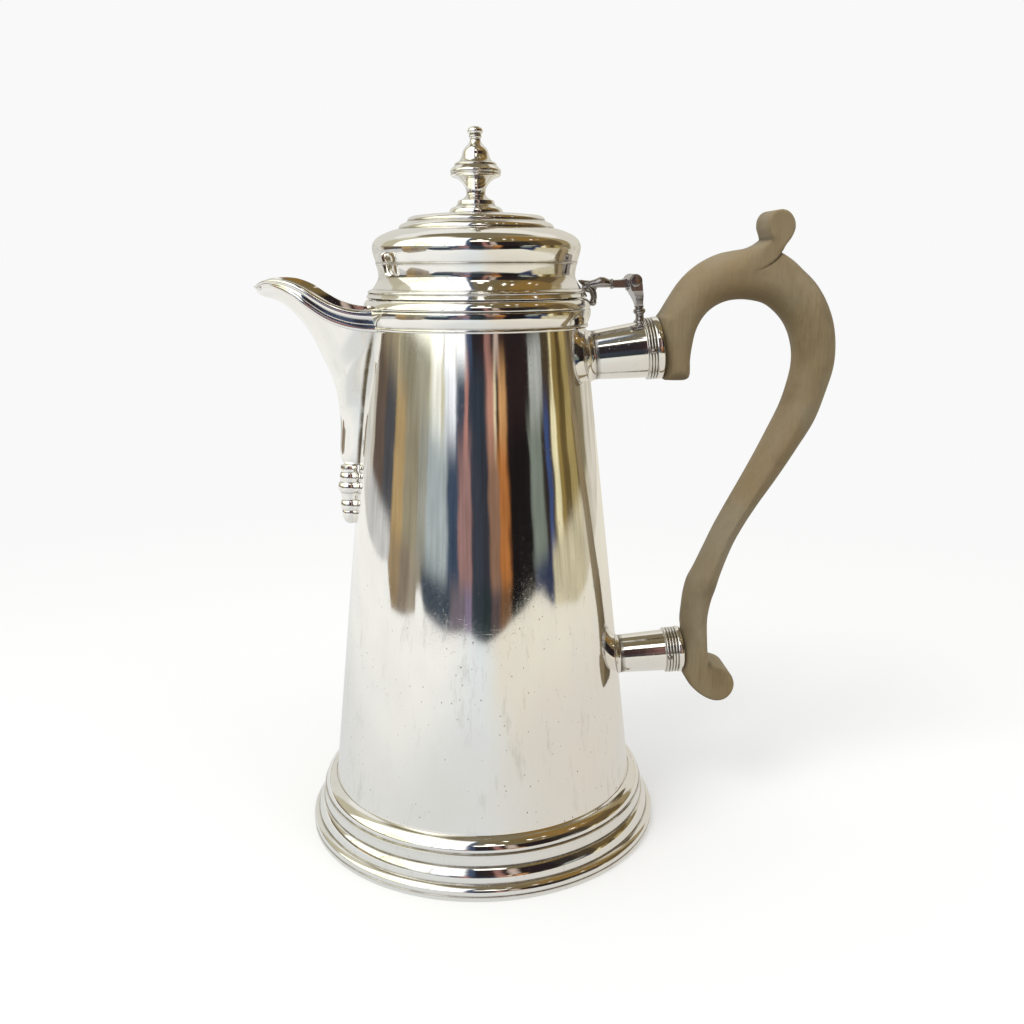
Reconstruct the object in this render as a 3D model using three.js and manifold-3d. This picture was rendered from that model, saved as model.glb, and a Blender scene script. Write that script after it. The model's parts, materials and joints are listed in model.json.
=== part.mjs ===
// Tapered silver coffee pot with a beak spout, a domed hinged lid and a carved wood scroll handle.
// Millimetres, +Z up. Radii and heights are given about the pot's own axis, with the table at z = 0.
// The handle is on +X and the spout on -X. The exported group shifts the pot along X, so that the
// origin is the bottom centre of the object's bounding box.
import * as THREE from "three";
import { mergeVertices } from "three/addons/utils/BufferGeometryUtils.js";
import Module from "manifold-3d";

// ---------------------------------------------------------------- driving dimensions
const SEGMENTS = 36; // facets round each piece on the pot's axis
const GAP = 0.25; // clearance between soldered or seated neighbours
const WALL = 1.1; // body sheet
const BODY_R_TOP = 32.58; // outer radius of the cone at BODY_Z_TOP
const BODY_Z_TOP = 158.4;
const BODY_TAPER = 0.1085; // radius gained per mm of drop
const RIM_Z = 164.2; // top of the mouth, where the lid seats
const FLARE_Z = 25.3; // the cone flares out below this height
const SKIRT_R = 49.5; // outer radius of the body inside the foot
const SPOUT_WALL = 1.2;
const HANDLE_THICK = 14.6; // handle thickness across Y
const UPPER_AXIS = { x: 55.6, z: 152.0, tilt: 6.0 }; // outer end centre and upward tilt of the upper socket
const LOWER_AXIS = { x: 65.3, z: 53.6, tilt: 3.5 };
const HINGE_X = 46.95; // lid hinge axis, parallel to Y
const HINGE_Z = 172.02;
const KNUCKLE_R = 2.05;
const PIN_R = 0.75;
const BARREL_HALF = 5.6; // half length of the hinge barrel
const ARM_KNUCKLE_HALF = 2.35; // half length of the lid's own knuckle
const SCROLL_HALF = 7.0;

// ---------------------------------------------------------------- materials
const silver = (tint = 0xdcd9d0) =>
  new THREE.MeshStandardMaterial({ color: tint, roughness: 0.12, metalness: 1.0 });
const wood = () =>
  new THREE.MeshStandardMaterial({ color: 0x8b7c60, roughness: 0.62, metalness: 0.0 });

// ---------------------------------------------------------------- helpers
const wasm = await Module();
wasm.setup();

const root = new THREE.Group();

// Signed volume of an indexed geometry, used to turn a surface so that it faces out.
function signedVolume(g) {
  const p = g.getAttribute("position");
  const ix = g.index.array;
  const a = new THREE.Vector3();
  const b = new THREE.Vector3();
  const c = new THREE.Vector3();
  let v = 0;
  for (let i = 0; i < ix.length; i += 3) {
    a.fromBufferAttribute(p, ix[i]);
    b.fromBufferAttribute(p, ix[i + 1]);
    c.fromBufferAttribute(p, ix[i + 2]);
    v += a.dot(b.cross(c)) / 6;
  }
  return v;
}

// Position-only, merged, without collapsed triangles, facing out.
function closed(geometry) {
  let g = geometry.index ? geometry.toNonIndexed() : geometry.clone();
  const only = new THREE.BufferGeometry();
  only.setAttribute("position", g.getAttribute("position"));
  g = mergeVertices(only, 1e-4);
  const src = g.index.array;
  const keep = [];
  for (let i = 0; i < src.length; i += 3)
    if (src[i] !== src[i + 1] && src[i + 1] !== src[i + 2] && src[i] !== src[i + 2])
      keep.push(src[i], src[i + 1], src[i + 2]);
  g.setIndex(keep);
  if (signedVolume(g) < 0) {
    for (let i = 0; i < keep.length; i += 3)
      [keep[i + 1], keep[i + 2]] = [keep[i + 2], keep[i + 1]];
    g.setIndex(keep);
  }
  return g;
}

function toSolid(geometry) {
  const g = closed(geometry);
  return new wasm.Manifold(
    new wasm.Mesh({
      numProp: 3,
      vertProperties: new Float32Array(g.getAttribute("position").array),
      triVerts: new Uint32Array(g.index.array),
    }),
  );
}

function toGeometry(solid) {
  const m = solid.getMesh();
  const g = new THREE.BufferGeometry();
  const n = m.numProp;
  const count = m.vertProperties.length / n;
  const v = new Float32Array(count * 3);
  for (let i = 0; i < count; i++)
    for (let k = 0; k < 3; k++) v[3 * i + k] = m.vertProperties[i * n + k];
  g.setAttribute("position", new THREE.BufferAttribute(v, 3));
  g.setIndex(new THREE.BufferAttribute(new Uint32Array(m.triVerts), 1));
  g.computeVertexNormals();
  return g;
}

function add(group, name, shape, material) {
  const g = shape instanceof THREE.BufferGeometry ? closed(shape) : toGeometry(shape);
  g.computeVertexNormals();
  const mesh = new THREE.Mesh(g, material);
  mesh.name = name;
  group.add(mesh);
  return mesh;
}

// Solid of revolution about Z from [radius, height] pairs. A profile that leaves the axis closes on itself.
function revolve(profile, segments = SEGMENTS) {
  const pts = profile.map(([r, z]) => new THREE.Vector2(r, z));
  const onAxis = profile[0][0] === 0 && profile[profile.length - 1][0] === 0;
  if (!onAxis) pts.push(pts[0].clone());
  const g = new THREE.LatheGeometry(pts, segments);
  g.rotateX(Math.PI / 2);
  return g;
}

// The same, laid along a tilted line in the XZ plane: [radius, distance] from the line's outer end.
function revolveAlong(profile, axis, segments = 22) {
  const g = revolve(profile, segments);
  g.rotateY(Math.PI / 2 - THREE.MathUtils.degToRad(axis.tilt));
  g.translate(axis.x, 0, axis.z);
  return g;
}

// Round bar along Y.
function barY(radius, y0, y1, x, z, sides = 12) {
  const g = new THREE.CylinderGeometry(radius, radius, y1 - y0, sides);
  g.translate(x, (y0 + y1) / 2, z);
  return g;
}

// Flat shape in the XZ plane, extruded across Y and centred on y = 0.
function plateXZ(points, thickness) {
  const shape = new THREE.Shape(points.map(([x, z]) => new THREE.Vector2(x, z)));
  const g = new THREE.ExtrudeGeometry(shape, { depth: thickness, bevelEnabled: false });
  g.translate(0, 0, -thickness / 2);
  g.rotateX(Math.PI / 2);
  return g;
}

// Flat outline in the XZ plane carried across Y through layers of [y, inset], so its long edges are rounded.
function roundedPlateXZ(points, layers) {
  const n = points.length;
  const area = THREE.ShapeUtils.area(points.map(([x, z]) => new THREE.Vector2(x, z)));
  const turn = Math.sign(area);
  const inward = points.map((p, i) => {
    const a = points[(i + n - 1) % n];
    const b = points[(i + 1) % n];
    const d0 = new THREE.Vector2(p[0] - a[0], p[1] - a[1]).normalize();
    const d1 = new THREE.Vector2(b[0] - p[0], b[1] - p[1]).normalize();
    const n0 = new THREE.Vector2(-d0.y * turn, d0.x * turn);
    const n1 = new THREE.Vector2(-d1.y * turn, d1.x * turn);
    const m = n0.clone().add(n1).normalize();
    return m.multiplyScalar(1 / Math.max(0.75, m.dot(n0)));
  });
  // A tight convex corner keeps less of the rounding, so that the inset edge never folds over.
  const room = points.map((p, i) => {
    const a = points[(i + n - 1) % n];
    const b = points[(i + 1) % n];
    const l0 = Math.hypot(p[0] - a[0], p[1] - a[1]);
    const l1 = Math.hypot(b[0] - p[0], b[1] - p[1]);
    const cross = (p[0] - a[0]) * (b[1] - p[1]) - (p[1] - a[1]) * (b[0] - p[0]);
    const bend = Math.asin(Math.min(1, Math.max(-1, cross / (l0 * l1)))) * turn;
    return bend <= 0.02 ? 1e3 : (0.45 * Math.min(l0, l1)) / Math.tan(bend / 2);
  });
  const limit = room.map((v, i) => Math.min(v, room[(i + n - 1) % n], room[(i + 1) % n]));
  const rows = layers.map(([y, inset]) =>
    points.map((p, i) => {
      const d = Math.min(inset, limit[i]);
      return new THREE.Vector3(p[0] + inward[i].x * d, y, p[1] + inward[i].y * d);
    }),
  );
  const tri = [];
  const push = (a, b, c) => tri.push(a.x, a.y, a.z, b.x, b.y, b.z, c.x, c.y, c.z);
  for (let r = 0; r + 1 < rows.length; r++)
    for (let i = 0; i < n; i++) {
      const k = (i + 1) % n;
      push(rows[r][i], rows[r + 1][i], rows[r + 1][k]);
      push(rows[r][i], rows[r + 1][k], rows[r][k]);
    }
  // Both faces take one triangulation; the winding of the walls decides which way each face turns.
  const faces = THREE.ShapeUtils.triangulateShape(
    rows[0].map((v) => new THREE.Vector2(v.x, v.z)),
    [],
  );
  const corner = (i) => new THREE.Vector2(rows[0][i].x, rows[0][i].z);
  const flip = faces.reduce((sum, f) => sum + THREE.ShapeUtils.area(f.map(corner)), 0) * turn < 0;
  for (const f of faces) {
    const [i, j, k] = flip ? [f[0], f[2], f[1]] : f;
    push(rows[0][i], rows[0][j], rows[0][k]);
    push(rows[rows.length - 1][i], rows[rows.length - 1][k], rows[rows.length - 1][j]);
  }
  const g = new THREE.BufferGeometry();
  g.setAttribute("position", new THREE.Float32BufferAttribute(tri, 3));
  return g;
}

// Piecewise-smooth scalar function through [x, y] knots.
function knots(table) {
  return (x) => {
    if (x <= table[0][0]) return table[0][1];
    for (let i = 1; i < table.length; i++)
      if (x <= table[i][0]) {
        const [x0, y0] = table[i - 1];
        const [x1, y1] = table[i];
        return y0 + ((y1 - y0) * (x - x0)) / (x1 - x0);
      }
    return table[table.length - 1][1];
  };
}

// Closed skin from a grid of outer points and a matching grid of inner points.
function sheetSolid(outer, inner) {
  const n = outer.length;
  const m = outer[0].length;
  const tri = [];
  const push = (a, b, c) => tri.push(a.x, a.y, a.z, b.x, b.y, b.z, c.x, c.y, c.z);
  const quad = (a, b, c, d) => {
    push(a, b, c);
    push(a, c, d);
  };
  for (let i = 0; i + 1 < n; i++)
    for (let j = 0; j + 1 < m; j++) {
      quad(outer[i][j], outer[i][j + 1], outer[i + 1][j + 1], outer[i + 1][j]);
      quad(inner[i][j], inner[i + 1][j], inner[i + 1][j + 1], inner[i][j + 1]);
    }
  for (let i = 0; i + 1 < n; i++) {
    quad(outer[i][0], outer[i + 1][0], inner[i + 1][0], inner[i][0]);
    quad(outer[i][m - 1], inner[i][m - 1], inner[i + 1][m - 1], outer[i + 1][m - 1]);
  }
  for (let j = 0; j + 1 < m; j++) {
    quad(outer[0][j], inner[0][j], inner[0][j + 1], outer[0][j + 1]);
    quad(outer[n - 1][j], outer[n - 1][j + 1], inner[n - 1][j + 1], inner[n - 1][j]);
  }
  const g = new THREE.BufferGeometry();
  g.setAttribute("position", new THREE.Float32BufferAttribute(tri, 3));
  return g;
}

// Closed bar through a run of convex sections, each a ring with the same number of points.
function barThrough(rings) {
  const tri = [];
  const push = (a, b, c) => tri.push(a.x, a.y, a.z, b.x, b.y, b.z, c.x, c.y, c.z);
  const m = rings[0].length;
  for (let i = 0; i + 1 < rings.length; i++)
    for (let j = 0; j < m; j++) {
      const k = (j + 1) % m;
      push(rings[i][j], rings[i][k], rings[i + 1][k]);
      push(rings[i][j], rings[i + 1][k], rings[i + 1][j]);
    }
  const last = rings.length - 1;
  for (let j = 1; j + 1 < m; j++) {
    push(rings[0][0], rings[0][j + 1], rings[0][j]);
    push(rings[last][0], rings[last][j], rings[last][j + 1]);
  }
  const g = new THREE.BufferGeometry();
  g.setAttribute("position", new THREE.Float32BufferAttribute(tri, 3));
  return g;
}

const bodyR = (z) => BODY_R_TOP + BODY_TAPER * (BODY_Z_TOP - z);

// ---------------------------------------------------------------- profiles about the pot's axis
// Body: open cone with a flared skirt at the bottom; outside going up, inside coming down.
const bodyOutside = [
  [SKIRT_R, 4.4],
  [SKIRT_R, 16.6],
  [48.75, 18.0],
  [47.75, 21.0],
  [bodyR(FLARE_Z), FLARE_Z],
  [bodyR(92), 92],
  [bodyR(157.2), 157.2],
];
const bodyProfile = [
  ...bodyOutside,
  [32.0, RIM_Z],
  [30.9, RIM_Z],
  [bodyR(157.2) - WALL, 157.2],
  [bodyR(92) - WALL, 92],
  [bodyR(FLARE_Z) - WALL, FLARE_Z],
  [46.7, 21.0],
  [47.7, 18.0],
  [SKIRT_R - WALL, 16.4],
  [SKIRT_R - WALL, 4.4],
];

const basePlateProfile = [
  [0, 5.0],
  [SKIRT_R - WALL - GAP, 5.0],
  [SKIRT_R - WALL - GAP, 6.2],
  [0, 6.6],
];

// Foot: stepped ring, hollow beneath, standing on a narrow flat edge.
const footProfile = [
  [52.6, 0],
  [56.0, 0],
  [56.07, 0.5],
  [55.7, 1.45],
  [55.0, 2.15],
  [54.7, 2.35],
  [54.87, 3.05],
  [54.75, 4.0],
  [54.25, 4.75],
  [53.45, 5.2],
  [53.05, 6.15],
  [52.8, 7.4],
  [52.72, 8.25],
  [52.95, 8.7],
  [52.7, 9.6],
  [52.2, 11.0],
  [52.1, 13.3],
  [51.8, 14.3],
  [51.45, 15.2],
  [50.85, 16.0],
  [SKIRT_R + GAP, 16.7],
  [SKIRT_R + GAP, 9.5],
  [50.9, 8.0],
  [52.0, 3.0],
];

// Moulding soldered round the mouth: bead, cavetto and upright upper tier.
const rimInner = (z) => (z < 157.2 ? bodyR(z) : 32.71 - ((z - 157.2) * 0.71) / 7.0) + GAP;
const rimProfile = [
  [rimInner(158.3), 158.3],
  [33.15, 158.6],
  [33.38, 159.1],
  [33.25, 159.7],
  [33.2, 160.0],
  [33.65, 161.1],
  [33.95, 162.1],
  [34.0, 162.7],
  [34.0, RIM_Z - 0.1],
  [33.85, RIM_Z],
  [rimInner(RIM_Z), RIM_Z],
];

const flangeProfile = [
  [30.65, 164.5],
  [33.88, 164.5],
  [33.93, 165.6],
  [33.55, 166.55],
  [32.8, 167.25],
  [32.2, 167.5],
  [30.65, 167.5],
];

const bezelProfile = [
  [28.5, 158.9],
  [29.45, 158.9],
  [30.35, 164.5],
  [30.35, 167.4],
  [29.3, 167.4],
  [29.3, 164.0],
];

const shellOutside = [
  [33.0, 167.8],
  [32.45, 168.9],
  [32.5, 169.3],
  [31.9, 169.85],
  [31.0, 170.1],
  [29.8, 171.85],
  [29.3, 173.1],
  [29.3, 174.4],
  [29.85, 177.3],
  [30.5, 179.4],
  [30.85, 181.2],
  [30.75, 182.6],
  [30.1, 184.05],
  [28.1, 185.5],
  [25.6, 186.6],
  [22.8, 187.4],
  [22.0, 188.6],
  [20.3, 189.4],
  [19.7, 190.4],
  [18.4, 190.95],
  [15.6, 191.3],
  [8.0, 191.75],
  [2.5, 191.75],
];
const shellProfile = [
  ...shellOutside,
  [2.5, 190.85],
  [15.4, 190.6],
  [18.9, 189.5],
  [21.2, 187.0],
  [27.5, 184.65],
  [29.7, 182.4],
  [29.5, 180.1],
  [28.3, 174.6],
  [28.4, 172.6],
  [30.7, 169.5],
  [30.7, 167.8],
];

const finialProfile = [
  [0, 187.0],
  [2.1, 187.0],
  [2.1, 192.0],
  [7.8, 192.0],
  [7.75, 192.6],
  [7.2, 193.2],
  [5.6, 194.1],
  [5.3, 195.3],
  [3.5, 196.0],
  [2.8, 196.9],
  [2.9, 198.3],
  [3.5, 199.7],
  [5.0, 201.1],
  [7.0, 202.2],
  [7.45, 203.6],
  [6.1, 205.5],
  [4.95, 206.2],
  [3.9, 207.7],
  [3.5, 209.4],
  [2.3, 210.7],
  [1.45, 212.3],
  [1.8, 213.2],
  [2.2, 214.3],
  [1.55, 215.5],
  [0, 216.0],
];

// ---------------------------------------------------------------- spout
// Keel: [distance out from the axis, height] from the root to the tip.
const KEEL = [
  [36.4, 116.9],
  [39.6, 116.8],
  [41.6, 117.3],
  [42.6, 118.8],
  [42.8, 121.6],
  [42.45, 127.8],
  [42.5, 134.0],
  [43.0, 139.4],
  [44.3, 144.2],
  [46.3, 149.3],
  [48.9, 155.4],
  [51.8, 160.2],
  [55.0, 163.9],
  [58.2, 166.4],
  [61.4, 167.6],
  [63.8, 168.3],
  [65.2, 169.4],
];
// Edge of the sheet: the seam up the body, then the free rim. [out, half width, height]
const seam = (z, deg) => {
  const a = THREE.MathUtils.degToRad(deg);
  const r = bodyR(z) - 1.5;
  return [r * Math.cos(a), r * Math.sin(a), z];
};
const EDGE = [
  seam(116.9, 2.6),
  seam(118.2, 5.0),
  seam(121, 6.5),
  seam(129, 10.5),
  seam(136, 13.5),
  seam(144, 16.5),
  seam(152, 19.0),
  seam(158.5, 21.0),
  [31.2, 13.0, 163.9],
  [36.5, 13.1, 164.3],
  [41.5, 13.1, 165.7],
  [46.2, 12.9, 168.2],
  [50.4, 12.9, 170.9],
  [54.4, 12.2, 172.5],
  [57.8, 10.2, 173.0],
  [60.6, 7.7, 172.9],
  [63.0, 4.9, 172.2],
  [64.5, 2.6, 171.2],
];
const STATIONS = [0, 0.012, 0.03, 0.055, 0.085];
for (let i = 0; i <= 19; i++) STATIONS.push(0.12 + (0.88 * i) / 19);
const ACROSS = 7; // quads from keel to edge
const keelCurve = new THREE.CatmullRomCurve3(
  KEEL.map(([o, z]) => new THREE.Vector3(-o, 0, z)),
  false,
  "centripetal",
);
const edgeCurve = new THREE.CatmullRomCurve3(
  EDGE.map(([o, w, z]) => new THREE.Vector3(-o, w, z)),
  false,
  "centripetal",
);
// Where along the keel each point of the edge is paired, both from 0 at the root to 1 at the tip.
const pairing = knots([
  [0, 0],
  [0.02, 0.045],
  [0.06, 0.1],
  [0.12, 0.16],
  [0.25, 0.27],
  [0.47, 0.43],
  [0.56, 0.53],
  [0.8, 0.81],
  [1, 1],
]);

function spoutPoint(t, v) {
  const e = edgeCurve.getPointAt(t);
  const k = keelCurve.getPointAt(pairing(t));
  const a = (Math.abs(v) * Math.PI) / 2;
  const flare = Math.max(0, (t - 0.42) / 0.58);
  const side = (1 - 0.22 * flare) * Math.sin(a) ** 0.92 + 0.22 * flare * Math.abs(v) ** 5;
  const rise = (1 - Math.cos(a)) ** 0.95;
  return new THREE.Vector3(
    k.x + (e.x - k.x) * rise,
    Math.sign(v) * e.y * side,
    k.z + (e.z - k.z) * rise,
  );
}

function spoutGrids() {
  const outer = [];
  const inner = [];
  for (const t of STATIONS) {
    const ro = [];
    const ri = [];
    for (let j = -ACROSS; j <= ACROSS; j++) {
      const v = j / ACROSS;
      const p = spoutPoint(t, v);
      const d = 1e-3;
      const du = spoutPoint(Math.min(1, t + d), v).sub(spoutPoint(Math.max(0, t - d), v));
      const dv = spoutPoint(t, Math.min(1, v + d)).sub(spoutPoint(t, Math.max(-1, v - d)));
      const n = new THREE.Vector3().crossVectors(du, dv).normalize();
      ro.push(p);
      ri.push(p.clone().addScaledVector(n, SPOUT_WALL));
    }
    outer.push(ro);
    inner.push(ri);
  }
  return [outer, inner];
}
let [spoutOuter, spoutInner] = spoutGrids();
// The inner skin lies towards the pot's axis, above the keel.
{
  const o = spoutOuter[11][ACROSS];
  const i = spoutInner[11][ACROSS];
  if (i.x < o.x)
    spoutInner = spoutInner.map((row, a) =>
      row.map((p, b) => spoutOuter[a][b].clone().multiplyScalar(2).sub(p)),
    );
}

// Everything on the pot's axis that the applied pieces have to stop short of.
const keepOut = toSolid(
  revolve([
    [0, 0],
    [SKIRT_R + GAP, 0],
    [SKIRT_R + GAP, 16.6],
    [49.0, 18.0],
    [48.0, 21.0],
    [bodyR(FLARE_Z) + GAP, FLARE_Z],
    [bodyR(157.0) + GAP, 157.0],
    [33.4, 158.2],
    [33.65, 158.8],
    [33.6, 159.6],
    [33.65, 160.4],
    [34.25, 161.8],
    [34.25, 167.2],
    [33.4, 167.7],
    [32.8, 168.7],
    [32.8, 169.6],
    [32.1, 170.15],
    [31.2, 170.4],
    [30.1, 172.1],
    [29.65, 173.1],
    [29.65, 174.4],
    [30.2, 177.3],
    [31.1, 180.4],
    [31.2, 183],
    [0, 216],
  ]),
);

const spoutSolid = toSolid(sheetSolid(spoutOuter, spoutInner)).subtract(keepOut);
// The same sheet grown on every side, to hold the lip clear of it.
const grow = (from, away, d) =>
  from.map((row, i) =>
    row.map((p, j) => p.clone().addScaledVector(p.clone().sub(away[i][j]).normalize(), d)),
  );
const spoutRoom = toSolid(
  sheetSolid(grow(spoutOuter, spoutInner, 0.22), grow(spoutInner, spoutOuter, 0.22)),
);

// Lip: the mouth's moulding carried round the beak outside its edge, square to it, dying away towards the tip.
const lipCurve = new THREE.CatmullRomCurve3(
  [[29.2, 13.0, 163.85], ...EDGE.slice(8)].map(([o, w, z]) => new THREE.Vector3(-o, w, z)),
  false,
  "centripetal",
);
const lipDepth = knots([
  [0, 5.8],
  [0.1, 5.7],
  [0.3, 5.0],
  [0.5, 4.2],
  [0.7, 3.0],
  [0.85, 2.0],
  [1, 1.5],
]);
const lipReach = knots([
  [0, 1.5],
  [0.5, 1.35],
  [0.8, 1.1],
  [1, 0.9],
]);
const lipRings = [];
{
  const section = (k) => {
    const h = lipDepth(k);
    const r = lipReach(k);
    const low = r * (k < 0.7 ? 0.9 : 0.9 - 0.5 * ((k - 0.7) / 0.3)); // the lower bead dies out first
    return [
      [0.25, h],
      [0.25 + low * 0.8, h * 0.99],
      [0.25 + low, h * 0.87],
      [0.25 + r * 0.45, h * 0.66],
      [0.25 + r * 0.5, h * 0.46],
      [0.25 + r, h * 0.3],
      [0.25 + r, 0.05],
      [0.25 + r * 0.6, -0.3],
      [0.25, -0.25],
    ];
  };
  const count = 14;
  const half = [];
  for (let i = 0; i <= count; i++) {
    const k = i / count;
    const p = lipCurve.getPointAt(k);
    const q = lipCurve.getTangentAt(k);
    const outward = new THREE.Vector3(q.y, -q.x, 0).normalize(); // horizontal, away from the channel
    if (outward.y < 0) outward.negate();
    const down = new THREE.Vector3().crossVectors(q, outward).normalize();
    if (down.z > 0) down.negate();
    half.push({ k, p, outward, down });
  }
  const ring = ({ k, p, outward, down }, mirror) =>
    section(k).map(([o, d]) => {
      const v = p.clone().addScaledVector(outward, o).addScaledVector(down, d);
      return mirror ? new THREE.Vector3(v.x, -v.y, v.z) : v;
    });
  for (const h of half) lipRings.push(ring(h, false));
  // Round the tip, fanning from the last section to its mirror image.
  const tip = half[count];
  const turn = Math.atan2(tip.outward.y, -tip.outward.x);
  for (const f of [0.6, 0.2, -0.2, -0.6]) {
    const a = turn * f;
    const out = new THREE.Vector3(-Math.cos(a), Math.sin(a), 0);
    const centre = new THREE.Vector3(tip.p.x - 0.3 * (1 - f * f), tip.p.y * f, tip.p.z - 0.1 * (1 - f * f));
    const down = new THREE.Vector3(tip.down.x, tip.down.y * f, tip.down.z).normalize();
    lipRings.push(
      section(1).map(([o, d]) => centre.clone().addScaledVector(out, o).addScaledVector(down, d)),
    );
  }
  for (const h of half.slice().reverse()) lipRings.push(ring(h, true));
}
const lipSolid = toSolid(barThrough(lipRings)).subtract(keepOut).subtract(spoutRoom);

// Drop below the beak: turned ridges and beads, hanging close against the body.
const DROP_X = -41.0;
const DROP_TILT = 2.0;
const dropProfile = [
  [0, 98.6],
  [1.3, 98.9],
  [2.0, 100.3],
  [2.1, 102.6],
  [1.7, 103.4],
  [2.35, 104.1],
  [2.5, 105.2],
  [2.1, 106.3],
  [1.75, 107.2],
  [1.9, 109.0],
  [2.75, 109.9],
  [3.0, 111.0],
  [2.6, 112.3],
  [2.2, 112.8],
  [2.5, 113.6],
  [2.4, 114.6],
  [2.75, 115.4],
  [2.6, 116.2],
  [0, 116.3],
];
const dropSolid = toSolid(
  revolve(dropProfile, 14)
    .rotateY(THREE.MathUtils.degToRad(DROP_TILT))
    .translate(DROP_X - 107 * Math.sin(THREE.MathUtils.degToRad(DROP_TILT)), 0, 0),
);

// ---------------------------------------------------------------- handle outline, [x, z] round the edge
const handleOutline = [
  [57.15, 142.6],
  [63.7, 142.35],
  [64.5, 143.2],
  [64.6, 148.4],
  [65.0, 152.6],
  [66.1, 157.2],
  [68.3, 161.0],
  [71.2, 163.7],
  [75.0, 165.6],
  [79.4, 166.3],
  [84.2, 165.9],
  [87.7, 164.9],
  [91.0, 162.6],
  [94.2, 159.0],
  [96.2, 154.9],
  [97.35, 150.0],
  [97.35, 145.6],
  [96.3, 140.2],
  [94.4, 133.9],
  [90.9, 126.2],
  [87.0, 118.1],
  [82.5, 109.4],
  [77.9, 100.8],
  [74.9, 94.9],
  [71.7, 87.8],
  [68.9, 81.6],
  [66.9, 77.6],
  [65.9, 73.6],
  [65.3, 68.5],
  [65.0, 63.6],
  [65.45, 61.3],
  [66.0, 53.6],
  [66.1, 46.2],
  [67.7, 43.2],
  [71.1, 40.0],
  [74.4, 38.1],
  [77.1, 37.6],
  [79.4, 38.2],
  [81.3, 40.1],
  [82.1, 42.6],
  [81.7, 45.1],
  [80.4, 47.3],
  [78.4, 48.7],
  [76.0, 49.5],
  [73.8, 50.6],
  [73.4, 53.0],
  [73.6, 60.0],
  [74.0, 65.5],
  [74.9, 70.5],
  [76.2, 74.6],
  [77.4, 79.0],
  [80.9, 88.8],
  [84.0, 95.0],
  [88.3, 102.1],
  [94.2, 110.9],
  [100.0, 120.2],
  [105.0, 128.9],
  [108.1, 138.0],
  [110.0, 145.2],
  [110.35, 150.6],
  [109.7, 157.0],
  [108.2, 162.2],
  [105.4, 167.8],
  [101.8, 172.4],
  [96.8, 176.5],
  [92.6, 179.0],
  [90.6, 180.2],
  [91.3, 182.2],
  [93.1, 184.6],
  [94.0, 187.2],
  [93.5, 189.8],
  [91.8, 191.8],
  [89.6, 192.5],
  [87.4, 191.7],
  [86.1, 189.8],
  [86.0, 187.3],
  [86.6, 185.3],
  [86.6, 183.9],
  [85.0, 182.6],
  [82.0, 181.5],
  [77.3, 180.7],
  [73.2, 179.9],
  [68.6, 177.9],
  [64.4, 175.0],
  [60.9, 171.3],
  [57.9, 166.3],
  [55.9, 162.6],
  [55.25, 160.9],
];

// ================================================================ assembly
const pot = new THREE.Group();
const lid = new THREE.Group();
root.add(pot, lid);

// ---- body, with the pouring port cut through the wall behind the spout
{
  const port = new THREE.Shape();
  port.moveTo(-5.5, 134);
  port.lineTo(5.5, 134);
  port.lineTo(8.0, 146);
  port.absarc(0, 146, 8.0, 0, Math.PI, false);
  port.lineTo(-5.5, 134);
  const cut = new THREE.ExtrudeGeometry(port, { depth: 20, bevelEnabled: false, curveSegments: 8 });
  cut.rotateX(Math.PI / 2); // shape plane to XZ
  cut.rotateZ(Math.PI / 2); // look along X
  cut.translate(-46, 0, 0);
  const box = new THREE.Box3().setFromBufferAttribute(cut.getAttribute("position"));
  cut.translate(-46 - box.min.x, 0, 0);
  const body = toSolid(revolve(bodyProfile)).subtract(toSolid(cut));
  add(pot, "pot_body", body, silver());
}
add(pot, "base_plate", revolve(basePlateProfile), silver(0xcfccc2));
add(pot, "foot_ring", revolve(footProfile), silver());
add(pot, "rim_moulding", revolve(rimProfile), silver());

// ---- spout
add(pot, "spout", spoutSolid, silver());
add(pot, "spout_lip", lipSolid, silver());
add(pot, "spout_drop", dropSolid.subtract(keepOut), silver());

// ---- sockets, measured back from the outer end
const upperTube = [
  [7.0, 0],
  [8.75, 0],
  [8.55, -5.6],
  [7.45, -20.6],
  [7.7, -20.9],
  [8.6, -22.0],
  [10.2, -24.2],
  [10.6, -27.5],
  [5.0, -27.5],
  [5.0, -16.0],
  [6.5, -16.0],
];
const lowerTube = [
  [4.7, 0],
  [6.75, 0],
  [6.7, -4.6],
  [6.15, -20.4],
  [6.5, -20.8],
  [7.6, -22.0],
  [8.9, -23.8],
  [9.2, -27.5],
  [3.4, -27.5],
  [3.4, -14.5],
  [4.3, -14.5],
];
const upperPinAt = -3.4; // distance back from the end, along each socket
const lowerPinAt = -4.7;
const along = (axis, d) => {
  const a = THREE.MathUtils.degToRad(axis.tilt);
  return [axis.x + d * Math.cos(a), axis.z + d * Math.sin(a)];
};
const [upX, upZ] = along(UPPER_AXIS, upperPinAt);
const [loX, loZ] = along(LOWER_AXIS, lowerPinAt);
const upperHole = toSolid(barY(0.95, -14, 14, upX, upZ, 8));
const lowerHole = toSolid(barY(0.95, -12, 12, loX, loZ, 8));

add(
  pot,
  "upper_socket",
  toSolid(revolveAlong(upperTube, UPPER_AXIS)).subtract(keepOut).subtract(upperHole),
  silver(),
);
add(
  pot,
  "lower_socket",
  toSolid(revolveAlong(lowerTube, LOWER_AXIS, 24)).subtract(keepOut).subtract(lowerHole),
  silver(),
);

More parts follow.
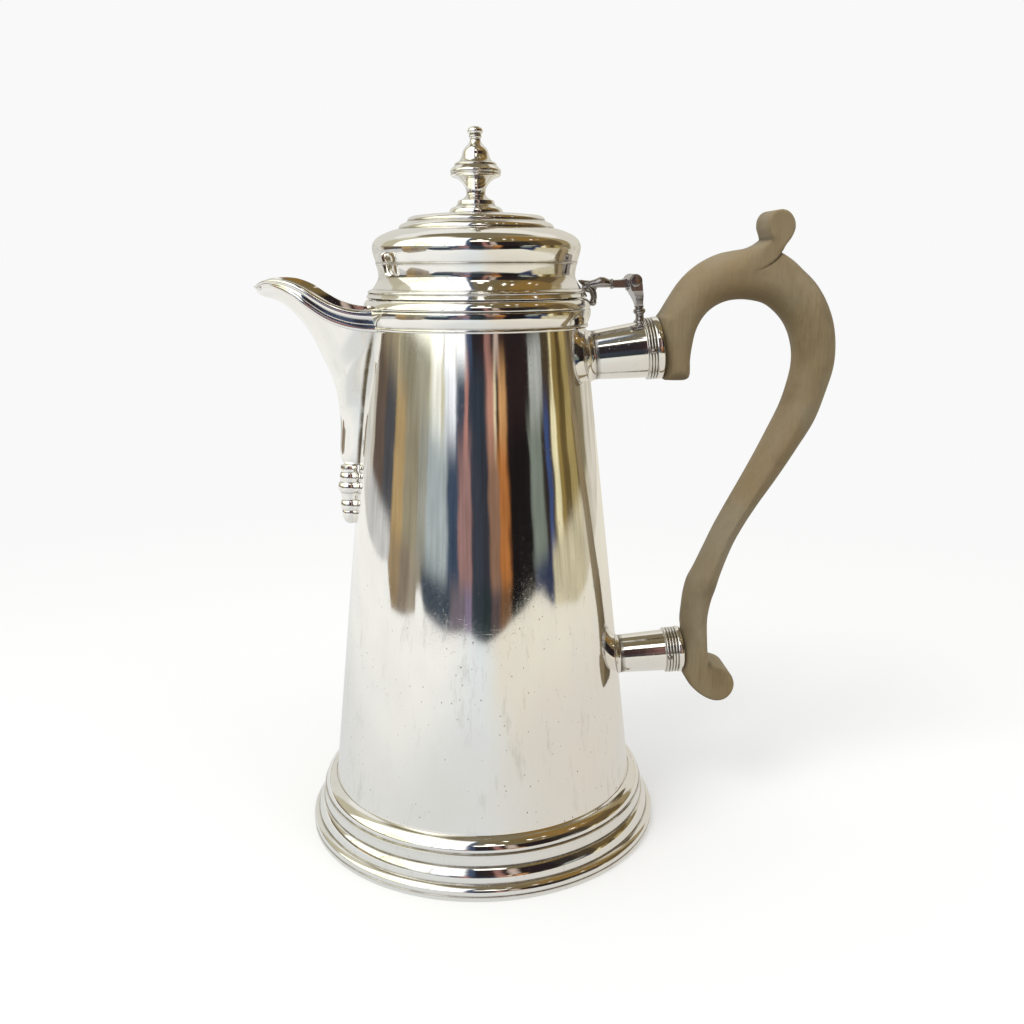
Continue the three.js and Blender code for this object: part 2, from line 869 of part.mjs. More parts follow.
// Reeded collars round the socket mouths.
add(
  pot,
  "upper_collar",
  toSolid(
    revolveAlong(
      [
        [9.0, 0],
        [9.5, -0.2],
        [9.5, -1.1],
        [9.25, -1.4],
        [9.45, -2.1],
        [9.2, -2.8],
        [9.4, -3.6],
        [9.25, -4.4],
        [9.0, -4.6],
      ],
      UPPER_AXIS,
    ),
  ).subtract(upperHole),
  silver(),
);
add(
  pot,
  "lower_collar",
  toSolid(
    revolveAlong(
      [
        [7.0, 0],
        [7.45, -0.2],
        [7.45, -1.2],
        [7.2, -1.6],
        [7.4, -2.5],
        [7.15, -3.4],
        [7.35, -4.4],
        [7.25, -5.6],
        [7.0, -5.8],
      ],
      LOWER_AXIS,
      24,
    ),
  ).subtract(lowerHole),
  silver(),
);

// ---- handle: carved scroll with a turned tenon for each socket
{
  const half = HANDLE_THICK / 2;
  const scroll = toSolid(
    roundedPlateXZ(handleOutline, [
      [-half, 1.7],
      [-half + 0.8, 0.6],
      [-half + 2.4, 0],
      [half - 2.4, 0],
      [half - 0.8, 0.6],
      [half, 1.7],
    ]),
  );
  const upperTenon = toSolid(
    revolveAlong(
      [
        [0, -15.6],
        [6.0, -15.6],
        [6.4, -1.0],
        [6.4, 2.5],
        [0, 2.5],
      ],
      UPPER_AXIS,
      24,
    ),
  );
  const lowerTenon = toSolid(
    revolveAlong(
      [
        [0, -14.1],
        [3.8, -14.1],
        [4.1, -1.0],
        [4.1, 2.5],
        [0, 2.5],
      ],
      LOWER_AXIS,
      20,
    ),
  );
  let wooden = scroll;
  // Cut the shoulder square to each socket, only near that socket.
  const shoulder = (axis, reach) => {
    const g = new THREE.BoxGeometry(12, 40, reach * 2);
    g.translate(-6 + 0.28, 0, 0);
    g.rotateY(THREE.MathUtils.degToRad(-axis.tilt));
    g.translate(axis.x, 0, axis.z);
    return toSolid(g);
  };
  wooden = wooden.subtract(shoulder(UPPER_AXIS, 9.8)).subtract(shoulder(LOWER_AXIS, 8.0));
  add(
    pot,
    "handle",
    wooden.add(upperTenon).add(lowerTenon).subtract(upperHole).subtract(lowerHole),
    wood(),
  );
}
add(pot, "upper_handle_pin", headedPin(0.7, 1.15, 9.6, upX, upZ), silver(0xb9b5aa));
add(pot, "lower_handle_pin", headedPin(0.7, 1.05, 7.55, loX, loZ), silver(0xb9b5aa));

// Pin across Y with a low domed head at each end.
function headedPin(r, rHead, half, x, z) {
  const g = new THREE.LatheGeometry(
    [
      new THREE.Vector2(0, -half - 0.75),
      new THREE.Vector2(rHead * 0.7, -half - 0.6),
      new THREE.Vector2(rHead, -half - 0.15),
      new THREE.Vector2(r, -half - 0.15),
      new THREE.Vector2(r, half + 0.15),
      new THREE.Vector2(rHead, half + 0.15),
      new THREE.Vector2(rHead * 0.7, half + 0.6),
      new THREE.Vector2(0, half + 0.75),
    ],
    8,
  );
  g.translate(x, 0, z);
  return g;
}

// ---- hinge post: turned stem on the upper socket, yoke and two knuckles
{
  const stem = toSolid(
    new THREE.LatheGeometry(
      [
        [0, 0],
        [2.5, 0],
        [2.2, 1.2],
        [1.4, 1.9],
        [1.3, 3.1],
        [1.75, 3.6],
        [1.75, 4.5],
        [1.2, 4.9],
        [1.5, 5.3],
        [1.2, 5.7],
        [1.1, 6.4],
        [0, 6.4],
      ].map(([r, z]) => new THREE.Vector2(r, z)),
      14,
    )
      .rotateX(Math.PI / 2)
      .rotateY(THREE.MathUtils.degToRad(-5))
      .translate(49.55, 0, 159.3),
  );
  // Blade: [height, left, right, half width], fanning out from the stem to the full barrel.
  const blade = toSolid(
    barThrough(
      [
        [164.6, 48.0, 50.1, 1.9],
        [165.4, 47.75, 50.0, 2.4],
        [166.4, 47.4, 49.85, 3.4],
        [167.6, 46.9, 49.6, 4.7],
        [168.8, 46.3, 49.3, 5.4],
        [169.6, 45.7, 49.1, BARREL_HALF],
      ].map(([z, x0, x1, w]) => [
        new THREE.Vector3(x0, -w, z),
        new THREE.Vector3(x1, -w, z),
        new THREE.Vector3(x1, w, z),
        new THREE.Vector3(x0, w, z),
      ]),
    ),
  );
  const knuckles = toSolid(barY(KNUCKLE_R, -BARREL_HALF, BARREL_HALF, HINGE_X, HINGE_Z, 16)).add(
    toSolid(
      plateXZ(
        [
          [45.6, 169.2],
          [48.75, 169.2],
          [48.95, 171.5],
          [45.0, 171.5],
        ],
        2 * BARREL_HALF,
      ),
    ),
  );
  const gapForArm = toSolid(
    new THREE.BoxGeometry(9, 2 * (ARM_KNUCKLE_HALF + 0.3), 9).translate(HINGE_X, 0, HINGE_Z + 1.6),
  );
  const bore = toSolid(barY(PIN_R + 0.12, -12, 12, HINGE_X, HINGE_Z, 12));
  const socketTop = toSolid(
    revolveAlong(
      [
        [0, 2],
        [9.75, 2],
        [9.75, -4.85],
        [8.85, -4.95],
        [7.75, -20.6],
        [0, -20.6],
      ],
      UPPER_AXIS,
    ),
  );
  add(
    pot,
    "hinge_post",
    stem.add(blade).add(knuckles).subtract(gapForArm).subtract(bore).subtract(socketTop),
    silver(0xc9c6bd),
  );
}
add(
  pot,
  "hinge_pin",
  barY(PIN_R, -BARREL_HALF - 0.3, BARREL_HALF + 0.3, HINGE_X, HINGE_Z, 12),
  silver(0xb9b5aa),
);

// ---- lid
add(lid, "lid_flange", revolve(flangeProfile), silver());
add(lid, "lid_bezel", revolve(bezelProfile), silver(0xcfccc2));
add(lid, "lid_shell", revolve(shellProfile), silver());
add(lid, "finial", revolve(finialProfile, 20), silver());
add(
  lid,
  "finial_nut",
  revolve(
    [
      [2.4, 187.6],
      [4.4, 187.6],
      [5.2, 188.3],
      [5.2, 190.5],
      [2.4, 190.5],
    ],
    12,
  ),
  silver(0xb9b5aa),
);

// Arm from the lid to the hinge: leaf, swelling, ring, flat strap, knuckle, and a scroll bracket under the leaf.
{
  const strapHalf = ARM_KNUCKLE_HALF;
  const strap = toSolid(
    plateXZ(
      [
        [40.9, 170.0],
        [46.95, 169.98],
        [46.95, 174.0],
        [45.0, 172.75],
        [43.0, 172.35],
        [40.9, 172.3],
      ],
      2 * strapHalf - 0.6,
    ),
  );
  const knuckle = toSolid(barY(KNUCKLE_R, -strapHalf, strapHalf, HINGE_X, HINGE_Z, 16));
  const ringPiece = toSolid(
    new THREE.CylinderGeometry(1.55, 1.55, 0.8, 14).rotateZ(Math.PI / 2).translate(40.7, 0, 171.2),
  );
  const swelling = toSolid(
    barThrough(
      [
        [30.2, 171.9, 0.35, 0.5],
        [32.2, 171.0, 1.0, 1.5],
        [34.6, 171.0, 1.1, 1.9],
        [36.6, 171.3, 1.5, 2.0],
        [38.2, 171.45, 1.5, 2.0],
        [40.4, 171.2, 1.2, 1.5],
      ].map(([x, z, h, w]) =>
        Array.from({ length: 10 }, (_, i) => {
          const a = (i / 10) * 2 * Math.PI;
          return new THREE.Vector3(x, w * Math.cos(a), z + h * Math.sin(a));
        }),
      ),
    ),
  );
  const bracket = toSolid(
    plateXZ(
      [
        [32.6, 170.8],
        [35.7, 170.6],
        [35.35, 169.0],
        [35.0, 167.7],
        [35.5, 166.9],
        [36.4, 166.2],
        [36.5, 165.3],
        [35.9, 164.65],
        [34.9, 164.75],
        [34.3, 165.4],
        [34.3, 167.3],
        [33.4, 168.4],
      ],
      2.6,
    ),
  );
  const bore = toSolid(barY(PIN_R + 0.12, -12, 12, HINGE_X, HINGE_Z, 12));
  add(
    lid,
    "lid_arm",
    strap.add(knuckle).add(ringPiece).add(swelling).add(bracket).subtract(bore).subtract(keepOut),
    silver(0xc9c6bd),
  );
}

// ---------------------------------------------------------------- origin at the bottom centre of the whole object
{
  root.updateMatrixWorld(true);
  const box = new THREE.Box3().setFromObject(root, true);
  root.children.forEach((g) => {
    g.position.x = -(box.min.x + box.max.x) / 2;
  });
}

export default root;
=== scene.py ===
"""Looks for the tapered silver coffee pot. Metres in Blender; the tables below are millimetres about the pot's axis."""

import json
import math

import bpy
import bmesh
import numpy as np
from mathutils import Matrix, Vector
from mathutils.geometry import delaunay_2d_cdt

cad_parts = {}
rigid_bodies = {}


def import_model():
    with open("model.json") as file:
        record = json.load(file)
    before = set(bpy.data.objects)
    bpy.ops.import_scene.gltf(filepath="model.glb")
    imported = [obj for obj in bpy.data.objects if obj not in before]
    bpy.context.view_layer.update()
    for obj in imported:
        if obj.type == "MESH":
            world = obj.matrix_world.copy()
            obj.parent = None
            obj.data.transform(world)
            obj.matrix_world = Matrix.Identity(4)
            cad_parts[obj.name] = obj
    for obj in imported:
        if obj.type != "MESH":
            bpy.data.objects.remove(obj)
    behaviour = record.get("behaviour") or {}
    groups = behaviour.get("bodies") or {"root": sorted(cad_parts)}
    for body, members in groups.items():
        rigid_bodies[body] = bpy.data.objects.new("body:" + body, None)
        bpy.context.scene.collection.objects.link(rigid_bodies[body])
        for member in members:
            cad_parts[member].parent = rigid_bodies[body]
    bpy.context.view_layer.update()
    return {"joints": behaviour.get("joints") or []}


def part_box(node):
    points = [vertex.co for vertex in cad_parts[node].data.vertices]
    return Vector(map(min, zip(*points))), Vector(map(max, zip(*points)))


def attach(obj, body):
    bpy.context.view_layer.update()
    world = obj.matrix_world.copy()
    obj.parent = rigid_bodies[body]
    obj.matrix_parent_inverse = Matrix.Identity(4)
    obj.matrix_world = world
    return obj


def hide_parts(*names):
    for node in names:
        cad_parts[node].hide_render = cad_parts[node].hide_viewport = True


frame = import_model()

_lo, _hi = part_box("foot_ring")
AXIS_X = (_lo.x + _hi.x) / 2 * 1000  # where the pot's axis stands in the row frame, in mm

SC = bpy.context.scene
RNG = np.random.default_rng(7)


# ---------------------------------------------------------------- node helpers
def new_material(name):
    m = bpy.data.materials.new(name)
    m.use_nodes = True
    m.node_tree.nodes.clear()
    return m, m.node_tree.nodes, m.node_tree.links


def node(nodes, kind, **values):
    n = nodes.new(kind)
    for k, v in values.items():
        setattr(n, k, v)
    return n


def math_node(nodes, links, op, a, b=None, c=None, clamp=False):
    n = nodes.new("ShaderNodeMath")
    n.operation = op
    n.use_clamp = clamp
    for i, v in enumerate((a, b, c)):
        if v is None:
            continue
        if isinstance(v, (int, float)):
            n.inputs[i].default_value = v
        else:
            links.new(v, n.inputs[i])
    return n.outputs[0]


def map_range(nodes, links, value, a, b, c, d, smooth=False):
    n = nodes.new("ShaderNodeMapRange")
    n.interpolation_type = "SMOOTHSTEP" if smooth else "LINEAR"
    links.new(value, n.inputs["Value"])
    for k, v in (("From Min", a), ("From Max", b), ("To Min", c), ("To Max", d)):
        n.inputs[k].default_value = v
    return n.outputs["Result"]


def mix_color(nodes, links, factor, a, b, blend="MIX"):
    n = nodes.new("ShaderNodeMix")
    n.data_type = "RGBA"
    n.blend_type = blend
    for sock, v in ((n.inputs[0], factor), (n.inputs[6], a), (n.inputs[7], b)):
        if isinstance(v, (int, float)):
            sock.default_value = v
        elif isinstance(v, (tuple, list)):
            sock.default_value = (*v[:3], 1.0)
        else:
            links.new(v, sock)
    return n.outputs[2]


def noise(nodes, links, vector, scale, detail=3.0, rough=0.55, distort=0.0):
    n = nodes.new("ShaderNodeTexNoise")
    n.inputs["Scale"].default_value = scale
    n.inputs["Detail"].default_value = detail
    n.inputs["Roughness"].default_value = rough
    n.inputs["Distortion"].default_value = distort
    links.new(vector, n.inputs["Vector"])
    return n.outputs["Fac"]


def mapping(nodes, links, vector, scale=(1, 1, 1), rotation=(0, 0, 0), location=(0, 0, 0)):
    n = nodes.new("ShaderNodeMapping")
    n.inputs["Scale"].default_value = scale
    n.inputs["Rotation"].default_value = rotation
    n.inputs["Location"].default_value = location
    links.new(vector, n.inputs["Vector"])
    return n.outputs["Vector"]


def srgb(r, g, b):
    def f(v):
        v /= 255.0
        return v / 12.92 if v <= 0.04045 else ((v + 0.055) / 1.055) ** 2.4

    return (f(r), f(g), f(b))


# ---------------------------------------------------------------- materials
def silver(name, base=(0.95, 0.94, 0.92), rough=0.045, scratch=1.0, specks=0.0, tarnish=0.6, dull=0.0, high=0.10):
    """Polished silver: uneven buffing, hairline scratches both ways, small dark pits, and warm tarnish left in creases."""
    m, N, L = new_material(name)
    out = node(N, "ShaderNodeOutputMaterial")
    p = node(N, "ShaderNodeBsdfPrincipled")
    p.inputs["Metallic"].default_value = 1.0
    L.new(p.outputs[0], out.inputs[0])
    co = node(N, "ShaderNodeTexCoord").outputs["Object"]

    # cloudy buffing
    cloud = noise(N, L, co, 38.0, 4.0, 0.6)
    cloud2 = noise(N, L, mapping(N, L, co, location=(3, 1, 7)), 160.0, 3.0, 0.6)
    # hairlines: long noise cells on tilted grids, cut to thin lines
    lines = None
    for i, (rot, stretch) in enumerate(
        (((0.0, 0.0, 0.3), (2600, 2600, 90)), ((0.6, 0.5, 1.1), (2300, 120, 2300)), ((1.1, 0.2, 0.2), (140, 2600, 2600)))
    ):
        v = noise(N, L, mapping(N, L, co, scale=stretch, rotation=rot, location=(i * 5.1, 2.3, i)), 1.0, 1.0, 0.5)
        v = map_range(N, L, v, 0.66, 0.80, 0.0, 1.0)
        lines = v if lines is None else math_node(N, L, "MAXIMUM", lines, v)
    patch = map_range(N, L, noise(N, L, mapping(N, L, co, location=(9, 4, 2)), 70.0, 2.0), 0.42, 0.62, 0.15, 1.0)
    hair = math_node(N, L, "MULTIPLY", lines, patch)

    # crease tarnish, held on the mesh
    cav = node(N, "ShaderNodeAttribute", attribute_name="cavity").outputs["Fac"]
    cav = math_node(N, L, "MULTIPLY", cav, map_range(N, L, cloud2, 0.3, 0.7, 0.45, 1.0))
    cav = math_node(N, L, "MULTIPLY", cav, tarnish, clamp=True)

    warm = mix_color(N, L, map_range(N, L, cloud, 0.35, 0.75, 0.0, 0.30), base, (base[0] * 0.96, base[1] * 0.935, base[2] * 0.88))
    warm = mix_color(N, L, math_node(N, L, "MULTIPLY", hair, 0.10 * scratch), warm, (0.70, 0.68, 0.64))
    col = mix_color(N, L, cav, warm, (0.20, 0.165, 0.115))

    r = math_node(N, L, "ADD", rough, map_range(N, L, cloud, 0.3, 0.75, 0.0, 0.035 + dull * 0.08))
    r = math_node(N, L, "ADD", r, math_node(N, L, "MULTIPLY", hair, 0.10 * scratch))
    r = math_node(N, L, "ADD", r, math_node(N, L, "MULTIPLY", cav, 0.30))

    if specks:
        # small pits and short dashes, thicker in some patches
        v = node(N, "ShaderNodeTexVoronoi", feature="F1")
        v.inputs["Scale"].default_value = 1.0
        v.inputs["Randomness"].default_value = 1.0
        warp = noise(N, L, co, 900.0, 2.0)
        L.new(mapping(N, L, co, scale=(560, 560, 400), rotation=(0.0, 0.5, 0.35)), v.inputs["Vector"])
        pick = math_node(N, L, "SUBTRACT", 1.0, map_range(N, L, v.outputs["Distance"], 0.075, 0.125, 0.0, 1.0))
        cell = node(N, "ShaderNodeSeparateColor")
        L.new(v.outputs["Color"], cell.inputs[0])
        chosen = map_range(N, L, cell.outputs[0], 0.24, 0.28, 0.0, 1.0)
        region = map_range(N, L, noise(N, L, mapping(N, L, co, location=(2, 8, 5)), 45.0, 3.0), 0.36, 0.54, 0.08, 1.0)
        sep = node(N, "ShaderNodeSeparateXYZ")
        L.new(co, sep.inputs[0])
        low = map_range(N, L, sep.outputs["Z"], 0.110, 0.066, high, 1.0, smooth=True)
        pit = math_node(N, L, "MULTIPLY", pick, chosen)
        pit = math_node(N, L, "MULTIPLY", pit, region)
        pit = math_node(N, L, "MULTIPLY", pit, low)
        pit = math_node(N, L, "MULTIPLY", pit, map_range(N, L, warp, 0.35, 0.6, 0.2, 1.0))
        col = mix_color(N, L, math_node(N, L, "MULTIPLY", pit, 0.86 * specks, clamp=True), col, (0.13, 0.105, 0.08))
        r = math_node(N, L, "ADD", r, math_node(N, L, "MULTIPLY", pit, 0.35))
        # faint slanted streaks where the polish has dried
        st = noise(N, L, mapping(N, L, co, scale=(300, 300, 62), rotation=(0.25, 0.35, 0.0), location=(1, 4, 4)), 1.0, 4.0, 0.7)
        st = map_range(N, L, st, 0.56, 0.72, 0.0, 1.0)
        st = math_node(N, L, "MULTIPLY", st, region)
        st = math_node(N, L, "MULTIPLY", st, low)
        col = mix_color(N, L, math_node(N, L, "MULTIPLY", st, 0.26 * specks), col, (0.44, 0.42, 0.37))
        r = math_node(N, L, "ADD", r, math_node(N, L, "MULTIPLY", st, 0.10))
    L.new(col, p.inputs["Base Color"])
    L.new(r, p.inputs["Roughness"])

    b = node(N, "ShaderNodeBump")
    b.inputs["Strength"].default_value = 0.045 * scratch
    b.inputs["Distance"].default_value = 0.00004
    L.new(hair, b.inputs["Height"])
    b2 = node(N, "ShaderNodeBump")
    b2.inputs["Strength"].default_value = 0.16
    b2.inputs["Distance"].default_value = 0.00035
    soft = noise(N, L, mapping(N, L, co, scale=(1, 1, 0.55)), 55.0, 2.0, 0.45)
    L.new(soft, b2.inputs["Height"])
    L.new(b.outputs[0], b2.inputs["Normal"])
    L.new(b2.outputs[0], p.inputs["Normal"])
    return m


def fruitwood(name):
    """Dry, unpolished pale brown wood: straight grain down the board, pores, grey bloom, and grime in the carving."""
    m, N, L = new_material(name)
    out = node(N, "ShaderNodeOutputMaterial")
    p = node(N, "ShaderNodeBsdfPrincipled")
    p.inputs["Specular IOR Level"].default_value = 0.32
    L.new(p.outputs[0], out.inputs[0])
    co = node(N, "ShaderNodeTexCoord").outputs["Object"]
    rot = (0.0, math.radians(-14), 0.0)
    wob = noise(N, L, mapping(N, L, co, scale=(1, 1, 0.3), rotation=rot), 60.0, 2.0, 0.5)
    sep = node(N, "ShaderNodeSeparateXYZ")
    L.new(mapping(N, L, co, rotation=rot), sep.inputs[0])
    rings = math_node(N, L, "ADD", math_node(N, L, "MULTIPLY", sep.outputs["X"], 2100.0), math_node(N, L, "MULTIPLY", wob, 16.0))
    rings = math_node(N, L, "ADD", rings, math_node(N, L, "MULTIPLY", sep.outputs["Y"], 520.0))
    rings = math_node(N, L, "SINE", rings)
    grain = noise(N, L, mapping(N, L, co, scale=(1500, 1500, 60), rotation=rot), 1.0, 4.0, 0.65)
    pores = noise(N, L, mapping(N, L, co, scale=(4200, 4200, 330), rotation=rot), 1.0, 2.0, 0.5)
    pores = map_range(N, L, pores, 0.60, 0.72, 0.0, 1.0)
    big = noise(N, L, mapping(N, L, co, scale=(1, 1, 0.7)), 42.0, 3.0, 0.55)

    a = mix_color(N, L, map_range(N, L, grain, 0.30, 0.72, 0.0, 1.0), srgb(152, 135, 102), srgb(134, 118, 88))
    a = mix_color(N, L, map_range(N, L, rings, -1.0, 1.0, 0.0, 0.10), a, srgb(114, 97, 69))
    a = mix_color(N, L, map_range(N, L, big, 0.34, 0.64, 0.0, 0.55), a, srgb(154, 145, 126))
    warm = noise(N, L, mapping(N, L, co, location=(6, 2, 1)), 26.0, 2.0)
    a = mix_color(N, L, map_range(N, L, warm, 0.46, 0.66, 0.0, 0.50), a, srgb(142, 116, 76))
    worn = noise(N, L, mapping(N, L, co, location=(1, 9, 4)), 70.0, 3.0, 0.6)
    a = mix_color(N, L, map_range(N, L, worn, 0.52, 0.70, 0.0, 0.38), a, srgb(106, 93, 71))
    a = mix_color(N, L, math_node(N, L, "MULTIPLY", pores, 0.16), a, srgb(84, 70, 48))
    cav = node(N, "ShaderNodeAttribute", attribute_name="cavity").outputs["Fac"]
    a = mix_color(N, L, math_node(N, L, "MULTIPLY", cav, 0.75, clamp=True), a, srgb(58, 47, 33))
    L.new(a, p.inputs["Base Color"])
    r = math_node(N, L, "ADD", map_range(N, L, big, 0.3, 0.7, 0.52, 0.66), math_node(N, L, "MULTIPLY", pores, 0.15))
    L.new(r, p.inputs["Roughness"])
    b = node(N, "ShaderNodeBump")
    b.inputs["Strength"].default_value = 0.22
    b.inputs["Distance"].default_value = 0.00010
    h = math_node(N, L, "SUBTRACT", math_node(N, L, "MULTIPLY", grain, 0.8), math_node(N, L, "MULTIPLY", pores, 0.7))
    L.new(h, b.inputs["Height"])
    L.new(b.outputs[0], p.inputs["Normal"])
    return m


SILVER_BODY = silver("silver_body", specks=1.0, scratch=0.9)
SILVER_LID = silver("silver_lid", specks=0.25, scratch=0.8, tarnish=0.75)
SILVER_CAST = silver("silver_cast", rough=0.06, scratch=0.9, tarnish=0.95, specks=0.45, high=0.9)
SILVER_FOOT = silver("silver_foot", rough=0.05, specks=0.55, scratch=0.9, tarnish=0.8)
SILVER_SPOUT = silver("silver_spout", specks=0.4, scratch=1.1, tarnish=1.0, high=0.9)
SILVER_SMALL = silver("silver_small", base=(0.42, 0.395, 0.385), rough=0.19, scratch=1.0, tarnish=1.0, dull=0.6, specks=0.3, high=0.9)
SILVER_DULL = silver("silver_dull", base=(0.80, 0.78, 0.74), rough=0.20, scratch=1.2, tarnish=0.8, dull=1.0, specks=0.6)
WOOD = fruitwood("fruitwood")


# ---------------------------------------------------------------- mesh helpers
def put(points):
    """mm about the pot's axis to metres in the row frame."""
    p = np.asarray(points, float).copy()
    p[..., 0] += AXIS_X
    return p / 1000.0


def make(name, verts, faces, material, body, replaces=(), angle=40, cavity=None, mm=True):
    me = bpy.data.meshes.new(name)
    me.from_pydata([tuple(v) for v in (put(verts) if mm else np.asarray(verts))], [], [tuple(int(i) for i in f) for f in faces])
    me.validate()
    if cavity is not None:
        att = me.attributes.new("cavity", "FLOAT", "POINT")
        att.data.foreach_set("value", np.asarray(cavity, np.float32))
    bm = bmesh.new()
    bm.from_mesh(me)
    bmesh.ops.remove_doubles(bm, verts=bm.verts, dist=2e-7)
    bmesh.ops.recalc_face_normals(bm, faces=bm.faces)
    bm.to_mesh(me)
    bm.free()
    o = bpy.data.objects.new(name, me)
    SC.collection.objects.link(o)
    finish_piece(o, material, body, replaces, angle)
    return o


def finish_piece(o, material, body, replaces, angle=40):
    me = o.data
    me.materials.clear()
    me.materials.append(material)
    me.shade_smooth()
    if angle:
        me.set_sharp_from_angle(angle=math.radians(angle))
    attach(o, body)
    if replaces:
        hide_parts(*replaces)


def spline(P, per=8):
    """Centripetal Catmull-Rom through every point of an open run."""
    P = np.asarray(P, float)
    if len(P) < 3:
        n = per * 2
        return np.array([P[0] + (P[1] - P[0]) * i / n for i in range(n + 1)])
    Q = np.vstack([2 * P[0] - P[1], P, 2 * P[-1] - P[-2]])
    out = []
    for i in range(len(P) - 1):
        p0, p1, p2, p3 = Q[i : i + 4]
        t0 = 0.0
        t1 = t0 + max(1e-6, np.linalg.norm(p1 - p0)) ** 0.5
        t2 = t1 + max(1e-6, np.linalg.norm(p2 - p1)) ** 0.5
        t3 = t2 + max(1e-6, np.linalg.norm(p3 - p2)) ** 0.5
        for k in range(per):
            t = t1 + (t2 - t1) * k / per
            a1 = (t1 - t) / (t1 - t0) * p0 + (t - t0) / (t1 - t0) * p1
            a2 = (t2 - t) / (t2 - t1) * p1 + (t - t1) / (t2 - t1) * p2
            a3 = (t3 - t) / (t3 - t2) * p2 + (t - t2) / (t3 - t2) * p3
            b1 = (t2 - t) / (t2 - t0) * a1 + (t - t0) / (t2 - t0) * a2
            b2 = (t3 - t) / (t3 - t1) * a2 + (t - t1) / (t3 - t1) * a3
            out.append((t2 - t) / (t2 - t1) * b1 + (t - t1) / (t2 - t1) * b2)
    out.append(P[-1])
    return np.array(out)


def fine_profile(points, per=6, fillet=0.10, closed=True):
    """[r, z] or [r, z, 1] rows; a 1 marks a crease, which gets a small fillet. Smooth runs between creases."""
    pts = [(p[0], p[1], (p[2] if len(p) > 2 else 0)) for p in points]
    if closed:
        first = next(i for i, p in enumerate(pts) if p[2])
        pts = pts[first:] + pts[:first] + [pts[first]]
    runs, run = [], [pts[0]]
    for p in pts[1:]:
        run.append(p)
        if p[2]:
            runs.append(run)
            run = [p]
    if len(run) > 1:
        runs.append(run)
    dense, crease = [], []
    for r in runs:
        q = spline([(a, b) for a, b, _ in r], per if len(r) > 2 else 4)
        if len(r) == 2:  # straight: points close to both ends keep the shading flat
            a, b = q[0], q[-1]
            length = np.linalg.norm(b - a)
            s = min(0.35, length * 0.25)
            steps = [0, s / length, 0.5, 1 - s / length, 1]
            q = np.array([a + (b - a) * t for t in steps])
        for i, v in enumerate(q[:-1]):
            dense.append(v)
            crease.append(i == 0)
    if not closed:
        dense.append(np.array(pts[-1][:2], float))
        crease.append(False)
        crease[0] = False
    out = []
    n = len(dense)
    for i, v in enumerate(dense):
        if not crease[i] or fillet <= 0:
            out.append(v)
            continue
        a, b = dense[i - 1], dense[(i + 1) % n]
        la, lb = np.linalg.norm(a - v), np.linalg.norm(b - v)
        ta, tb = (a - v) / la, (b - v) / lb
        f = min(fillet, la * 0.45, lb * 0.45)
        pa, pb = v + ta * f, v + tb * f
        for t in (0, 0.25, 0.5, 0.75, 1):
            out.append((1 - t) ** 2 * pa + 2 * t * (1 - t) * v + t * t * pb)
    return np.array(out)


def cavity_of(profile, closed=True):
    """How far each profile point lies in a crease: 0 on open faces, up to 1 in a tight inward corner."""
    n = len(profile)
    area = 0.5 * np.sum(profile[:, 0] * np.roll(profile[:, 1], -1) - np.roll(profile[:, 0], -1) * profile[:, 1])
    seg = np.roll(profile, -1, 0) - profile
    ang = np.arctan2(seg[:, 1], seg[:, 0])
    turn = np.angle(np.exp(1j * (ang - np.roll(ang, 1)))) * np.sign(area)
    inward = np.clip(-turn, 0, None)
    if not closed:
        inward[0] = inward[-1] = 0
    s = np.concatenate([[0], np.cumsum(np.linalg.norm(seg, axis=1))[:-1]])
    total = s[-1] + np.linalg.norm(seg[-1])
    d = np.abs(s[:, None] - s[None, :])
    if closed:
        d = np.minimum(d, total - d)
    local = (inward[None, :] * np.exp(-((d / 0.35) ** 2))).sum(1)
    return np.clip(local / 1.1, 0, 1)


def lathe(name, points, material, body, replaces=(), segs=192, per=6, fillet=0.10, axis=None, closed=True, angle=50, arc=None):
    """Solid of revolution. axis is None for the pot's own axis, or (x, z, tilt in degrees) with heights counted along it."""
    prof = fine_profile(points, per, fillet, closed)
    cav = cavity_of(prof, closed)
    n = len(prof)
    verts, faces, cavs = [], [], []
    ring = []
    th = np.arange(segs) * 2 * math.pi / segs
    for (r, z), c in zip(prof, cav):
        if r < 1e-4:
            ring.append([len(verts)] * segs)
            verts.append((0.0, 0.0, z))
            cavs.append(c)
        else:
            base = len(verts)
            ring.append(list(range(base, base + segs)))
            verts.extend(zip(r * np.cos(th), r * np.sin(th), [z] * segs))
            cavs.extend([c] * segs)
    for i in range(n if closed else n - 1):
        a, b = ring[i], ring[(i + 1) % n]
        for j in range(segs):
            k = (j + 1) % segs
            f = []
            for v in (a[j], a[k], b[k], b[j]):
                if v not in f:
                    f.append(v)
            if len(f) > 2:
                faces.append(f)
    v = np.array(verts, float)
    if axis is not None:
        x, z, tilt = axis
        t = math.radians(tilt)
        ax, up = np.array([math.cos(t), 0, math.sin(t)]), np.array([-math.sin(t), 0, math.cos(t)])
        v = np.array([x, 0, z]) + v[:, 2:3] * ax + v[:, 0:1] * up + v[:, 1:2] * np.array([0, 1.0, 0])
    return make(name, v, faces, material, body, replaces, angle, cavs)


def apply_modifiers(o):
    dg = bpy.context.evaluated_depsgraph_get()
    me = bpy.data.meshes.new_from_object(o.evaluated_get(dg))
    o.modifiers.clear()
    old = o.data
    o.data = me
    me.name = o.name
    bpy.data.meshes.remove(old)


